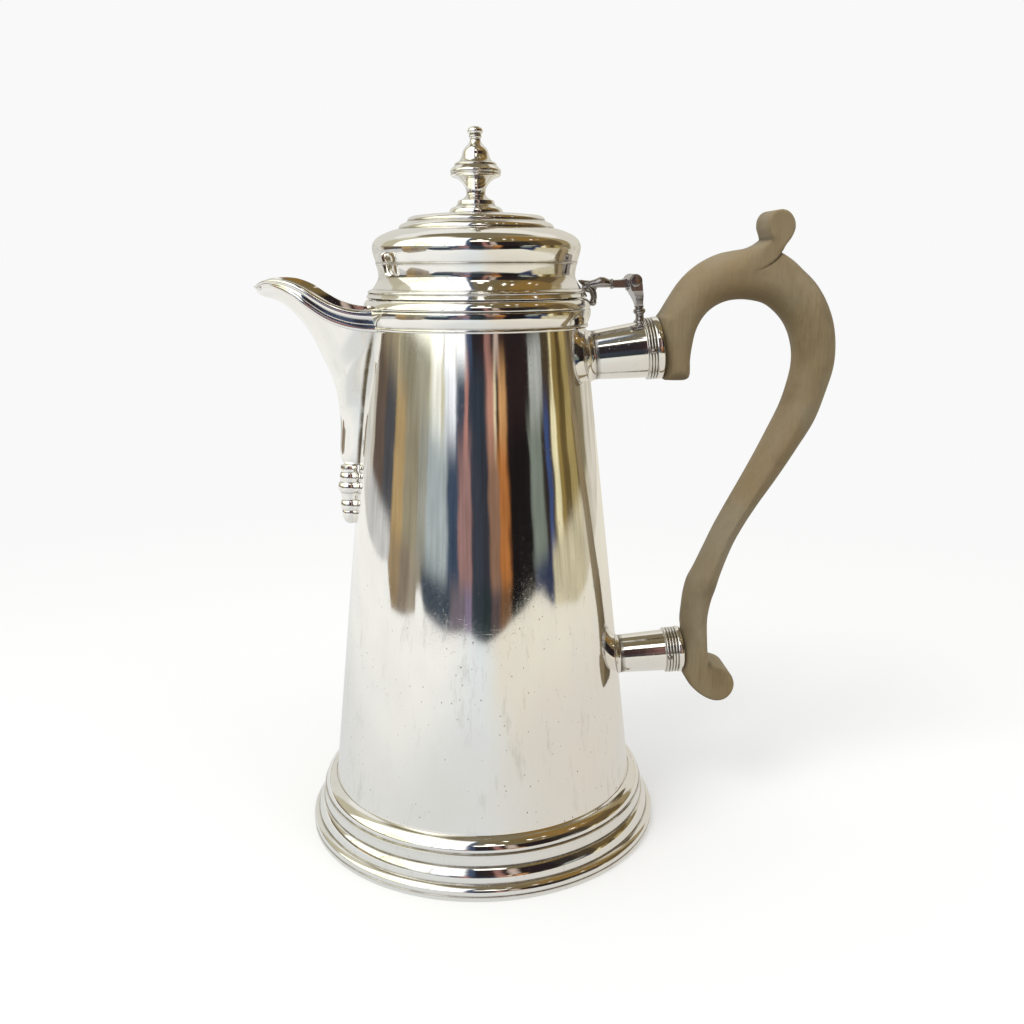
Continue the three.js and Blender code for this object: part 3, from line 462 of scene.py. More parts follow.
def raw(name, verts, faces, mm=True):
    """A loose helper mesh, for joining or cutting; it is removed afterwards."""
    me = bpy.data.meshes.new(name)
    me.from_pydata([tuple(v) for v in (put(verts) if mm else np.asarray(verts))], [], [tuple(int(i) for i in f) for f in faces])
    bm = bmesh.new()
    bm.from_mesh(me)
    bmesh.ops.remove_doubles(bm, verts=bm.verts, dist=1e-7)
    bmesh.ops.recalc_face_normals(bm, faces=bm.faces)
    bm.to_mesh(me)
    bm.free()
    o = bpy.data.objects.new(name, me)
    SC.collection.objects.link(o)
    return o


def rings_to_faces(rows, cols, close_rows=False, caps=True):
    faces = []
    for i in range(rows if close_rows else rows - 1):
        for j in range(cols):
            k = (j + 1) % cols
            n = (i + 1) % rows
            faces.append((i * cols + j, i * cols + k, n * cols + k, n * cols + j))
    if caps and not close_rows:
        faces.append(tuple(range(cols))[::-1])
        faces.append(tuple((rows - 1) * cols + j for j in range(cols)))
    return faces


def sweep(rings):
    """Closed bar through [rows][cols] points."""
    r = np.asarray(rings, float)
    return r.reshape(-1, 3), rings_to_faces(r.shape[0], r.shape[1])


def bar_y(r, y0, y1, x, z, n=48, chamfer=0.12):
    th = np.arange(n) * 2 * math.pi / n
    rows = []
    for rr, y in ((r - chamfer, y0), (r - chamfer * 0.3, y0 + chamfer * 0.3), (r, y0 + chamfer), (r, y1 - chamfer), (r - chamfer * 0.3, y1 - chamfer * 0.3), (r - chamfer, y1)):
        rows.append(np.stack([x + rr * np.cos(th), np.full(n, y), z + rr * np.sin(th)], -1))
    return sweep(rows)


def plate_xz(points, y0, y1):
    p = np.asarray(points, float)
    a = np.stack([p[:, 0], np.full(len(p), y0), p[:, 1]], -1)
    b = np.stack([p[:, 0], np.full(len(p), y1), p[:, 1]], -1)
    return sweep([a, b])


def fuse(name, parts, material, body, replaces, voxel=0.11, smooth=4, cuts=()):
    """Small cast piece: the parts are fused with a fine voxel remesh, softened, and then cut."""
    obs = [raw(f"{name}_raw{i}", v, f) for i, (v, f) in enumerate(parts)]
    bm = bmesh.new()
    for o in obs:
        bm.from_mesh(o.data)
    me = bpy.data.meshes.new(name)
    bm.to_mesh(me)
    bm.free()
    for o in obs:
        bpy.data.objects.remove(o)
    o = bpy.data.objects.new(name, me)
    SC.collection.objects.link(o)
    m = o.modifiers.new("fuse", "REMESH")
    m.mode = "VOXEL"
    m.voxel_size = voxel / 1000
    m.use_smooth_shade = True
    s = o.modifiers.new("soften", "SMOOTH")
    s.factor = 0.5
    s.iterations = smooth
    cutters = []
    for i, (v, f) in enumerate(cuts):
        c = raw(f"{name}_cut{i}", v, f)
        b = o.modifiers.new(f"cut{i}", "BOOLEAN")
        b.operation = "DIFFERENCE"
        b.solver = "EXACT"
        b.object = c
        cutters.append(c)
    apply_modifiers(o)
    for c in cutters:
        bpy.data.objects.remove(c)
    co = np.zeros(len(o.data.vertices) * 3)
    o.data.vertices.foreach_get("co", co)
    cav = vertex_cavity(o.data)
    att = o.data.attributes.new("cavity", "FLOAT", "POINT")
    att.data.foreach_set("value", cav.astype(np.float32))
    finish_piece(o, material, body, replaces, 38)
    return o


def vertex_cavity(me, gain=0.55):
    """Creases of a free-form mesh, from how far each point sits below its neighbours' mean, along its normal."""
    n = len(me.vertices)
    co = np.zeros(n * 3)
    me.vertices.foreach_get("co", co)
    co = co.reshape(-1, 3)
    no = np.array([v.normal[:] for v in me.vertices]).reshape(-1, 3)
    e = np.zeros(len(me.edges) * 2, int)
    me.edges.foreach_get("vertices", e)
    e = e.reshape(-1, 2)
    total, count, size = np.zeros((n, 3)), np.zeros(n), np.zeros(n)
    for a, b in ((0, 1), (1, 0)):
        np.add.at(total, e[:, a], co[e[:, b]])
        np.add.at(count, e[:, a], 1)
        np.add.at(size, e[:, a], np.linalg.norm(co[e[:, 0]] - co[e[:, 1]], axis=1))
    count[count == 0] = 1
    lap = total / count[:, None] - co
    k = (lap * no).sum(1) / np.maximum(size / count, 1e-9)
    for _ in range(4):
        acc = k.copy()
        for a, b in ((0, 1), (1, 0)):
            np.add.at(acc, e[:, a], k[e[:, b]])
        k = acc / (count + 1)
    return np.clip(k / gain * 3.0, 0, 1)


# ---------------------------------------------------------------- profiles about the pot's axis
BODY_R_TOP, BODY_Z_TOP, TAPER = 32.58, 158.4, 0.1085


def body_r(z):
    return BODY_R_TOP + TAPER * (BODY_Z_TOP - z)


WALL = 1.1
cone = np.linspace(25.3, 157.0, 12)
body_profile = (
    [(48.3, 4.4, 1), (48.3, 15.6), (48.25, 16.3), (48.08, 17.0), (body_r(18.6) + 0.06, 18.6), (body_r(21.0), 21.0)]
    + [(body_r(z), z) for z in cone[0:]]
    + [(32.35, 160.5), (32.0, 164.2, 1), (30.9, 164.2, 1), (body_r(157) - WALL, 157.0)]
    + [(body_r(z) - WALL, z) for z in cone[::-1][1:]]
    + [(46.75, 19.4), (46.95, 17.4), (47.1, 16.2), (47.1, 4.4, 1)]
)
base_profile = [(0, 5.0, 1), (20, 5.1), (47.05, 5.0, 1), (47.05, 6.2, 1), (30, 6.5), (0, 6.6, 1)]
K = 1.056
foot_outer = [
    (53.05, 0, 1), (53.12, 0.6), (53.02, 1.3, 1), (52.86, 1.42, 1), (53.02, 1.62, 1),
    (53.12, 2.2), (53.02, 2.85), (52.72, 3.35), (52.25, 3.72), (51.75, 3.98), (51.4, 4.1, 1), (51.3, 4.2, 1),
    (51.34, 4.9), (51.22, 5.6), (51.0, 6.35), (50.68, 7.1), (50.3, 7.75), (50.02, 8.12, 1), (49.72, 8.24, 1), (49.46, 8.3, 1), (49.46, 8.5, 1),
    (49.62, 8.68), (49.54, 9.4), (49.44, 10.4), (49.42, 11.2), (49.46, 11.62, 1), (49.2, 11.76, 1), (48.9, 11.86, 1),
    (49.0, 12.25), (48.93, 12.8), (48.75, 13.32), (48.4, 13.92), (47.95, 14.43), (47.35, 14.92), (46.85, 15.22), (46.35, 15.42), (45.95, 15.52), (45.72, 15.55, 1),
]
foot_profile = [(r * K, z * K, *c) for r, z, *c in foot_outer] + [
    (48.35, 16.1, 1), (48.35, 9.5), (50.4, 7.9), (51.4, 5.0), (52.1, 3.0), (52.5, 0.4), (52.75, 0, 1),
]
rim_profile = [
    (32.9, 158.7, 1), (33.1, 158.75), (33.32, 159.0), (33.32, 159.45), (33.12, 159.75, 1),
    (33.2, 160.0), (33.5, 160.7), (33.8, 161.5), (33.98, 162.2), (34.05, 162.8),
    (34.02, 164.0), (33.85, 164.2, 1), (32.3, 164.2, 1),
]
flange_profile = [
    (30.6, 164.42, 1), (33.8, 164.42, 1), (33.99, 164.7), (33.93, 165.35), (33.62, 166.1), (33.2, 166.7), (32.6, 167.2), (31.9, 167.55, 1), (30.6, 167.6, 1),
]
bezel_profile = [(28.5, 158.9, 1), (29.35, 158.9, 1), (30.35, 164.5), (30.35, 167.4, 1), (29.3, 167.4, 1), (29.3, 164.0)]
shell_profile = [
    (32.2, 167.62, 1), (32.95, 167.62, 1), (33.03, 167.75, 1), (32.42, 168.85, 1),
    (32.52, 168.98, 1), (32.6, 169.2), (32.42, 169.6), (32.0, 169.85, 1), (31.2, 170.0, 1),
    (30.3, 171.3), (29.72, 172.3), (29.38, 173.2), (29.3, 174.0), (29.38, 174.9), (29.62, 176.2), (29.85, 177.1, 1),
    (30.0, 177.25, 1), (30.02, 177.45), (29.92, 177.62, 1),
    (30.1, 178.3), (30.42, 179.3), (30.72, 180.4), (30.88, 181.5), (30.83, 182.4), (30.5, 183.4), (29.95, 184.2), (28.95, 185.05), (27.6, 185.75), (25.65, 186.55), (23.9, 187.05), (22.95, 187.25, 1),
    (22.85, 187.7), (22.5, 188.3), (21.9, 188.72, 1), (21.5, 188.85), (20.3, 189.42, 1), (20.25, 189.85), (19.9, 190.35), (19.2, 190.75), (18.5, 190.95, 1),
    (17.4, 191.0), (15.6, 191.25), (10.0, 191.65), (2.4, 191.8, 1),
    (2.4, 190.9, 1), (10.0, 190.8), (15.4, 190.3), (18.3, 189.9), (19.6, 188.6), (21.9, 186.9), (25.4, 185.6), (27.6, 184.6), (29.3, 183.3),
    (29.85, 182.0), (29.7, 181.0), (29.2, 179.0), (28.6, 177.0), (28.25, 174.0), (28.7, 172.2), (30.0, 170.0), (30.6, 169.2), (30.6, 167.62, 1),
]
finial_profile = [(0, 187.0, 1), (2.1, 187.0, 1), (2.1, 191.9, 1), (7.9, 191.9, 1)] + [
    (r * K, z * K, *c)
    for r, z, *c in [
        (7.42, 182.1), (7.2, 182.6), (6.83, 182.95, 1), (6.5, 183.1), (5.6, 183.5), (5.29, 183.85, 1),
        (5.2, 184.2), (5.05, 184.9, 1), (4.4, 185.1), (3.5, 185.55), (2.85, 186.2), (2.64, 186.7), (2.72, 187.6), (3.05, 188.6),
        (3.6, 189.4), (4.7, 190.4), (5.9, 191.05, 1), (6.6, 191.3), (6.95, 191.75), (6.85, 192.15, 1), (7.02, 192.5), (7.0, 193.0), (6.5, 193.6), (5.8, 194.25, 1),
        (5.75, 194.7), (5.35, 195.0), (4.75, 195.15, 1), (4.25, 195.8), (3.75, 196.9), (3.45, 198.0), (2.9, 198.9), (2.2, 199.6), (1.62, 200.4), (1.4, 201.1, 1),
        (1.72, 201.6), (1.74, 202.05), (1.5, 202.35, 1), (1.95, 202.7), (2.14, 203.2), (1.9, 203.9), (1.25, 204.35), (0.6, 204.52),
    ]
] + [(0, 216.0, 1)]


def ellipse_fix(profile):
    return [(max(0.0, p[0]), *p[1:]) for p in profile]


lathe("pot_body_skin", body_profile, SILVER_BODY, "pot", (), segs=256, per=3)
lathe("base_plate_skin", base_profile, SILVER_DULL, "pot", ("base_plate",), segs=128, closed=False)
lathe("foot_ring_skin", foot_profile, SILVER_FOOT, "pot", ("foot_ring",), segs=256, per=6, fillet=0.09)
lathe("rim_moulding_skin", rim_profile, SILVER_LID, "pot", ("rim_moulding",), segs=256, per=5, fillet=0.08)
lathe("lid_flange_skin", flange_profile, SILVER_LID, "lid", ("lid_flange",), segs=256, per=5, fillet=0.08)
lathe("lid_bezel_skin", bezel_profile, SILVER_DULL, "lid", ("lid_bezel",), segs=160)
lathe("lid_shell_skin", shell_profile, SILVER_LID, "lid", ("lid_shell",), segs=256, per=5, fillet=0.08)
lathe("finial_skin", finial_profile, SILVER_CAST, "lid", ("finial",), segs=112, per=5, fillet=0.06, closed=False)
lathe(
    "finial_nut_skin",
    [(2.4, 187.6, 1), (4.4, 187.6, 1), (5.0, 187.9), (5.2, 188.4), (5.2, 190.5, 1), (2.4, 190.5, 1)],
    SILVER_DULL, "lid", ("finial_nut",), segs=64,
)

# ---- pouring port through the body wall, behind the beak
body = bpy.data.objects["pot_body_skin"]
arch = [(-2.4, 138.5), (2.4, 138.5), (4.6, 148.5)] + [
    (4.6 * math.cos(a), 148.5 + 4.6 * math.sin(a)) for a in np.linspace(0.12, math.pi - 0.12, 22)
] + [(-4.6, 148.5)]
a0 = np.array([(-46.0, y, z) for y, z in arch])
a1 = np.array([(-26.0, y, z) for y, z in arch])
cutter = raw("port_cut", *sweep([a0, a1]))
bpy.context.view_layer.update()
mod = body.modifiers.new("port", "BOOLEAN")
mod.operation = "DIFFERENCE"
mod.solver = "EXACT"
mod.object = cutter
parent, inverse, world = body.parent, body.matrix_parent_inverse.copy(), body.matrix_world.copy()
apply_modifiers(body)
bpy.data.objects.remove(cutter)
finish_piece(body, SILVER_BODY, "pot", ("pot_body",), 50)

# ---------------------------------------------------------------- spout
KEEL = [
    (36.4, 116.9), (39.6, 116.8), (41.6, 117.3), (42.6, 118.8), (42.8, 121.6), (42.45, 127.8), (42.5, 134.0), (43.0, 139.4),
    (44.3, 144.2), (46.3, 149.3), (48.9, 155.4), (51.8, 160.2), (55.0, 163.9), (58.2, 166.4), (61.4, 167.6), (63.8, 168.3), (65.2, 169.4),
]


def seam(z, deg):
    a = math.radians(deg)
    r = body_r(z) - 0.55
    return (r * math.cos(a), r * math.sin(a), z)


EDGE = [
    seam(116.9, 1.8), seam(118.2, 2.9), seam(121, 3.6), seam(129, 4.6), seam(136, 5.8), seam(143, 8.0), seam(150, 12.6), seam(156.5, 18.4), seam(159.5, 20.8),
    (31.2, 13.6, 163.9), (36.5, 13.4, 164.3), (41.5, 13.0, 165.7), (46.2, 12.5, 168.2), (50.4, 12.0, 170.9),
    (54.4, 11.0, 172.5), (57.8, 9.3, 173.0), (60.6, 7.1, 172.9), (63.0, 4.6, 172.2), (64.5, 2.5, 171.2),
]


class Path:
    """A spline sampled by its length, 0 to 1."""

    def __init__(self, points, per=24):
        self.p = spline(points, per)
        s = np.concatenate([[0], np.cumsum(np.linalg.norm(np.diff(self.p, axis=0), axis=1))])
        self.s = s / s[-1]

    def at(self, t):
        return np.array([np.interp(t, self.s, self.p[:, k]) for k in range(self.p.shape[1])])

    def tangent(self, t):
        d = self.at(min(1, t + 0.004)) - self.at(max(0, t - 0.004))
        return d / np.linalg.norm(d)


keel_path = Path([(-o, 0.0, z) for o, z in KEEL])
edge_path = Path([(-o, w, z) for o, w, z in EDGE])
PAIR = ([0, 0.02, 0.06, 0.12, 0.25, 0.47, 0.56, 0.80, 1.0], [0, 0.045, 0.10, 0.16, 0.27, 0.43, 0.53, 0.81, 1.0])
SPOUT_WALL = 1.1


def spout_point(t, v):
    e, k = edge_path.at(t), keel_path.at(float(np.interp(t, *PAIR)))
    a = abs(v) * math.pi / 2
    flare = max(0.0, (t - 0.42) / 0.58)
    side = (1 - 0.22 * flare) * math.sin(a) ** 0.92 + 0.22 * flare * abs(v) ** 5
    rise = (1 - math.cos(a)) ** 0.95
    return np.array([k[0] + (e[0] - k[0]) * rise, math.copysign(1, v) * e[1] * side if v else 0.0, k[2] + (e[2] - k[2]) * rise])


S_ROWS, S_COLS = 110, 64
ts = np.linspace(0, 1, S_ROWS + 1)
vs = np.sin(np.linspace(-1, 1, S_COLS + 1) * math.pi / 2 * 0.999) / math.sin(math.pi / 2 * 0.999)
vs = 0.5 * vs + 0.5 * np.linspace(-1, 1, S_COLS + 1)
outer = np.array([[spout_point(t, v) for v in vs] for t in ts])
du = np.gradient(outer, axis=0)
dv = np.gradient(outer, axis=1)
nrm = np.cross(du, dv)
nrm /= np.maximum(1e-9, np.linalg.norm(nrm, axis=2, keepdims=True))
mid = S_COLS // 2
if nrm[S_ROWS // 3, mid][0] < 0:  # the inner skin lies towards the pot
    nrm = -nrm
inner = outer + nrm * SPOUT_WALL
R, C = outer.shape[:2]
sv = np.vstack([outer.reshape(-1, 3), inner.reshape(-1, 3)])
off = R * C
sf = []
for i in range(R - 1):
    for j in range(C - 1):
        a, b, c, d = i * C + j, i * C + j + 1, (i + 1) * C + j + 1, (i + 1) * C + j
        sf.append((a, b, c, d))
        sf.append((off + a, off + d, off + c, off + b))
for i in range(R - 1):
    for j in (0, C - 1):
        a, d = i * C + j, (i + 1) * C + j
        sf.append((a, d, off + d, off + a) if j == 0 else (a, off + a, off + d, d))
for j in range(C - 1):
    for i in (0, R - 1):
        a, b = i * C + j, i * C + j + 1
        sf.append((a, off + a, off + b, b) if i == 0 else (a, b, off + b, off + a))
# grime along the soldered seam, fading where the edge leaves the body
stand = np.hypot(outer[..., 0], outer[..., 1]) - (BODY_R_TOP + TAPER * (BODY_Z_TOP - outer[..., 2]))  # height off the wall
fade = np.interp(ts, [0.0, 0.02, 0.44, 0.52], [0.3, 1.0, 1.0, 0.0])[:, None]
seam_cav = 1.5 * np.clip(1.25 - stand / 0.95, 0, 1) * fade
make("spout_skin", sv, sf, SILVER_SPOUT, "pot", ("spout",), 50, np.concatenate([seam_cav.ravel(), np.zeros(seam_cav.size)]))

# ---- lip: the rim's tiers carried round the beak, square to its edge
LIP = [  # [out, down], down counted 0 to 1 of the lip's own depth
    (-0.25, -0.03), (0.10, -0.085), (0.55, -0.10), (1.00, -0.065), (1.34, 0.01), (1.50, 0.10), (1.50, 0.20), (1.36, 0.29), (1.12, 0.345),
    (0.90, 0.365), (0.80, 0.385), (0.84, 0.43), (0.92, 0.50), (1.00, 0.57), (1.02, 0.60),
    (0.92, 0.625), (1.00, 0.66), (1.08, 0.72), (1.10, 0.82), (1.06, 0.92), (0.85, 0.985), (0.45, 1.0), (-0.2, 0.96), (-0.3, 0.5),
]
LIP_CAV = [0, 0, 0, 0, 0, 0, 0, 0, 0.2, 0.9, 0.9, 0.2, 0, 0, 0.3, 0.9, 0.3, 0.1, 0.1, 0.15, 0.5, 0.8, 0, 0]
lip_rows, lip_cav = [], []
half_t = np.linspace(0, 1.0, 90)
lip_path = Path([(-29.0, 13.7, 163.85)] + [(-o, w, z) for o, w, z in EDGE[9:]])


def lip_frame(t):
    p, q = lip_path.at(t), lip_path.tangent(t)
    out = np.array([q[1], -q[0], 0.0])
    out /= np.linalg.norm(out)
    if out[1] < 0:
        out = -out
    down = np.cross(q, out)
    if down[2] > 0:
        down = -down
    return p, out, down / np.linalg.norm(down)


def lip_size(t):
    depth = float(np.interp(t, [0, 0.1, 0.3, 0.5, 0.7, 0.85, 1.0], [5.75, 5.6, 4.9, 4.1, 3.0, 2.0, 1.5]))
    reach = float(np.interp(t, [0, 0.5, 0.8, 1.0], [1.0, 0.92, 0.75, 0.62]))
    return depth, reach


def lip_section(t):
    """The lower tier dies into the upper one near the tip."""
    die = float(np.interp(t, [0.62, 0.93], [0.0, 1.0]))
    rows = []
    for o, d in LIP:
        if d > 0.4:
            o = o + (max(-0.2, 0.9 - 0.9 * (d - 0.4) / 0.6) - o) * die
        rows.append((o, d))
    return rows


for t in half_t:
    p, out, down = lip_frame(t)
    depth, reach = lip_size(t)
    lip_rows.append([p + out * o * reach + down * d * depth for o, d in lip_section(t)])
# round the tip, from the last frame to its mirror image
p, out, down = lip_frame(1.0)
depth, reach = lip_size(1.0)
ang0 = math.atan2(out[1], -out[0])
for a in np.linspace(ang0, -ang0, 15)[1:-1]:
    o2 = np.array([-math.cos(a), math.sin(a), 0.0])
    f = math.sin(a) / math.sin(ang0)
    c = np.array([p[0] - 0.55 * (1 - f * f) ** 0.5, p[1] * f, p[2] - 0.12 * (1 - f * f)])
    d2 = np.array([down[0], down[1] * f, down[2]])
    d2 /= np.linalg.norm(d2)
    lip_rows.append([c + o2 * o * reach + d2 * d * depth for o, d in lip_section(1.0)])
for t in half_t[::-1]:
    p, out, down = lip_frame(t)
    depth, reach = lip_size(t)
    m = np.array([1, -1, 1.0])
    lip_rows.append([(p + out * o * reach + down * d * depth) * m for o, d in lip_section(t)])
lv, lf = sweep(lip_rows)
make("spout_lip_skin", lv, lf, SILVER_LID, "pot", ("spout_lip",), 50, np.tile(LIP_CAV, len(lip_rows)))

# ---- turned drop under the beak
drop_profile = [  # [radius, z]; a 1 marks a sharp step
    (0.02, 98.4, 1), (0.9, 98.5), (1.7, 98.9), (2.3, 99.8), (2.7, 101.2), (2.75, 102.4), (2.6, 102.85, 1),
    (2.85, 103.2), (3.05, 103.8), (3.12, 104.4), (3.05, 105.1), (2.85, 105.7), (2.6, 106.0, 1), (2.7, 106.8), (2.8, 107.8), (2.95, 108.6, 1),
    (3.35, 108.95), (3.6, 109.6), (3.65, 110.2), (3.6, 110.8), (3.3, 111.5), (2.85, 111.9, 1),
    (2.9, 112.2), (3.03, 112.8), (3.08, 113.3), (3.0, 113.9), (2.85, 114.4), (2.6, 114.8, 1), (2.65, 115.3), (2.75, 116.0), (2.6, 116.9), (0.02, 117.2, 1),
]
DROP_X = -40.35
dp, dc = [], []
for i in range(len(drop_profile) - 1):
    r0, z0 = drop_profile[i][:2]
    r1, z1 = drop_profile[i + 1][:2]
    for f in (0.0, 0.5):
        dp.append((r0 + (r1 - r0) * f, z0 + (z1 - z0) * f))
        dc.append(0.85 if len(drop_profile[i]) > 2 and f == 0.0 else 0.05)
dp.append(drop_profile[-1][:2])
dc.append(0.5)
th = np.arange(64) * 2 * math.pi / 64
drop_rows = []
for rr, zz in dp:
    back = -(body_r(zz) - 0.55)
    x = np.minimum(DROP_X + rr * np.cos(th), back)
    if rr < 0.1:
        x = np.full(64, DROP_X) + rr * np.cos(th)
    drop_rows.append(np.stack([x, rr * 0.92 * np.sin(th), np.full(64, zz)], -1))
dv_, df_ = sweep(drop_rows)
make("spout_drop_skin", dv_, df_, SILVER_CAST, "pot", ("spout_drop",), 45, np.repeat(dc, 64))

# ---------------------------------------------------------------- sockets, collars and pins
UP = (55.6, 152.0, 6.0)
LOW = (65.3, 53.6, 3.5)
lathe(
    "upper_socket_skin",
    [(6.5, 0, 1), (8.75, 0, 1), (8.55, -5.6), (8.0, -13.0), (7.42, -20.3, 1), (7.35, -20.45, 1), (7.55, -20.6, 1), (7.62, -21.2), (8.1, -22.1), (9.2, -23.2), (10.3, -24.2), (11.2, -26.4), (11.4, -28.5, 1), (5.0, -28.5, 1), (5.0, -16.0, 1), (6.5, -16.0, 1)],
    SILVER_CAST, "pot", ("upper_socket",), segs=128, axis=UP, fillet=0.05,
)
lathe(
    "lower_socket_skin",
    [(4.6, 0, 1), (6.95, 0, 1), (6.7, -5.0), (6.45, -12.0), (6.15, -20.2, 1), (6.08, -20.3, 1), (6.25, -20.45, 1), (6.5, -20.8), (7.0, -21.6), (7.9, -22.6), (8.8, -23.8), (9.2, -26.0, 1), (3.4, -26.0, 1), (3.4, -14.5, 1), (4.6, -14.5, 1)],
    SILVER_CAST, "pot", ("lower_socket",), segs=112, axis=LOW, fillet=0.05,
)


def reeds(r, start, count, width, lift):
    """Rounded reeds on a band of radius r, going down the axis from start."""
    out = []
    for i in range(count):
        a = start - i * width
        out += [(r, a, 1), (r + lift * 0.8, a - width * 0.22), (r + lift, a - width * 0.5), (r + lift * 0.8, a - width * 0.78)]
    return out + [(r, start - count * width, 1)]


lathe(
    "upper_collar_skin",
    [(8.6, 0.02, 1), (9.25, 0.02, 1), (9.42, -0.25), (9.42, -1.9), (9.2, -2.15, 1)] + reeds(8.98, -2.2, 3, 0.86, 0.42)[0:] + [(8.95, -4.95, 1), (8.5, -5.0, 1)],
    SILVER_CAST, "pot", ("upper_collar",), segs=128, axis=UP, fillet=0.05, per=4,
)
lathe(
    "lower_collar_skin",
    [(6.7, 0.02, 1), (7.3, 0.02, 1), (7.42, -0.2), (7.42, -1.5), (7.2, -1.7, 1)] + reeds(6.98, -1.75, 4, 0.95, 0.42) + [(6.95, -5.75, 1), (6.6, -5.85, 1)],
    SILVER_CAST, "pot", ("lower_collar",), segs=112, axis=LOW, fillet=0.05, per=4,
)


def along(axis, d):
    a = math.radians(axis[2])
    return axis[0] + d * math.cos(a), axis[1] + d * math.sin(a)


def headed_pin(name, node_name, axis, d, half, r_head, r=0.7):
    x, z = along(axis, d)
    prof = [(0, -half - 0.62), (r_head * 0.45, -half - 0.56), (r_head * 0.85, -half - 0.30), (r_head, -half + 0.02), (r_head, -half + 0.25), (r, -half + 0.3)]
    prof = prof + [(a, -b) for a, b in prof[::-1]]
    th = np.arange(40) * 2 * math.pi / 40
    rows = [np.stack([x + max(a, 0.01) * np.cos(th), np.full(40, y), z + max(a, 0.01) * np.sin(th)], -1) for a, y in prof]
    o = raw(name, *sweep(rows))
    slots = []
    for s in (-1, 1):
        w, dd = 0.13, 0.28
        y0 = s * (half + 0.75)
        y1 = s * (half + 0.62 - dd)
        box = [(x - 2, min(y0, y1), z - w), (x + 2, min(y0, y1), z - w), (x + 2, min(y0, y1), z + w), (x - 2, min(y0, y1), z + w)]
        top = [(a, max(y0, y1), c) for a, _, c in box]
        cut = raw(name + "_slot", *sweep([box, top]))
        b = o.modifiers.new("slot", "BOOLEAN")
        b.operation = "DIFFERENCE"
        b.solver = "EXACT"
        b.object = cut
        slots.append(cut)
    bpy.context.view_layer.update()
    apply_modifiers(o)
    for c in slots:
        bpy.data.objects.remove(c)
    att = o.data.attributes.new("cavity", "FLOAT", "POINT")
    finish_piece(o, SILVER_SMALL, "pot", (node_name,), 35)


headed_pin("upper_handle_pin_skin", "upper_handle_pin", UP, -3.4, 9.35, 0.95)
headed_pin("lower_handle_pin_skin", "lower_handle_pin", LOW, -4.7, 7.4, 0.9)

# ---------------------------------------------------------------- hinge
HX, HZ = frame["joints"][0]["pos_m"][0] * 1000 - AXIS_X, frame["joints"][0]["pos_m"][2] * 1000
KR, BARREL, KNUCKLE = 2.05, 5.6, 2.35


def turned_up(points, x, z, tilt=0.0, n=40):
    """[r, height] rows turned about a near-vertical line."""
    th = np.arange(n) * 2 * math.pi / n
    t = math.radians(tilt)
    rows = []
    for r, h in points:
        r = max(r, 0.02)
        lx, ly = r * np.cos(th), r * np.sin(th)
        rows.append(np.stack([x + lx * math.cos(t) + h * math.sin(t), ly, z - lx * math.sin(t) + h * math.cos(t)], -1))
    return sweep(rows)


stem_rows = [(0.02, -0.4), (2.3, -0.4), (2.35, 0.2), (1.9, 0.9), (1.35, 1.5), (1.22, 2.2), (1.28, 2.9), (1.6, 3.2), (1.85, 3.6), (1.85, 4.2), (1.45, 4.6), (1.1, 4.8), (1.35, 5.0), (1.5, 5.25), (1.35, 5.5), (1.05, 5.8), (1.0, 6.4), (0.02, 6.4)]
post_parts = [
    turned_up(stem_rows, 49.55, 159.2, -5),
    sweep([
        [(a, -w, z), (b, -w, z), (b, w, z), (a, w, z)]
        for z, a, b, w in (
            (164.5, 48.0, 50.1, 1.8), (165.4, 47.75, 50.0, 2.2), (166.2, 47.5, 49.9, 2.9), (167.0, 47.2, 49.75, 3.9), (167.8, 46.85, 49.6, 4.8),
            (168.6, 46.45, 49.4, 5.35), (169.4, 46.0, 49.2, BARREL - 0.02), (169.7, 45.8, 49.1, BARREL - 0.02))
    ]),
]
for s in (-1, 1):
    y0, y1 = sorted((s * (KNUCKLE + 0.3), s * BARREL))
    post_parts.append(bar_y(KR, y0, y1, HX, HZ))
    post_parts.append(plate_xz([(45.85, 169.0), (49.3, 169.0), (48.98, 171.8), (44.95, 171.8)], y0 + 0.02, y1 - 0.02))
fuse("hinge_post_skin", post_parts, SILVER_SMALL, "pot", ("hinge_post",), voxel=0.12, smooth=3)

# hinge pin with a flat disc head each end
th = np.arange(48) * 2 * math.pi / 48
hp = []
for r, y in [(0.02, -BARREL - 0.5), (1.25, -BARREL - 0.5), (1.55, -BARREL - 0.42), (1.68, -BARREL - 0.25), (1.68, -BARREL + 0.0), (0.75, -BARREL + 0.02)]:
    hp.append((r, y))
hp = hp + [(r, -y) for r, y in hp[::-1]]
rows = [np.stack([HX + r * np.cos(th), np.full(48, y), HZ + r * np.sin(th)], -1) for r, y in hp]
pv, pf = sweep(rows)
make("hinge_pin_skin", pv, pf, SILVER_SMALL, "pot", ("hinge_pin",), 35, np.zeros(len(pv)))


def blob_x(stations, n=32, power=2.4):
    """Bar along X from [x, z centre, half height, half width] rows, with soft square sections."""
    rows = []
    a = np.arange(n) * 2 * math.pi / n
    c, s = np.cos(a), np.sin(a)
    cc, ss = np.sign(c) * np.abs(c) ** (2 / power), np.sign(s) * np.abs(s) ** (2 / power)
    for x, z, h, w in stations:
        rows.append(np.stack([np.full(n, x), w * cc, z + h * ss], -1))
    return sweep(rows)


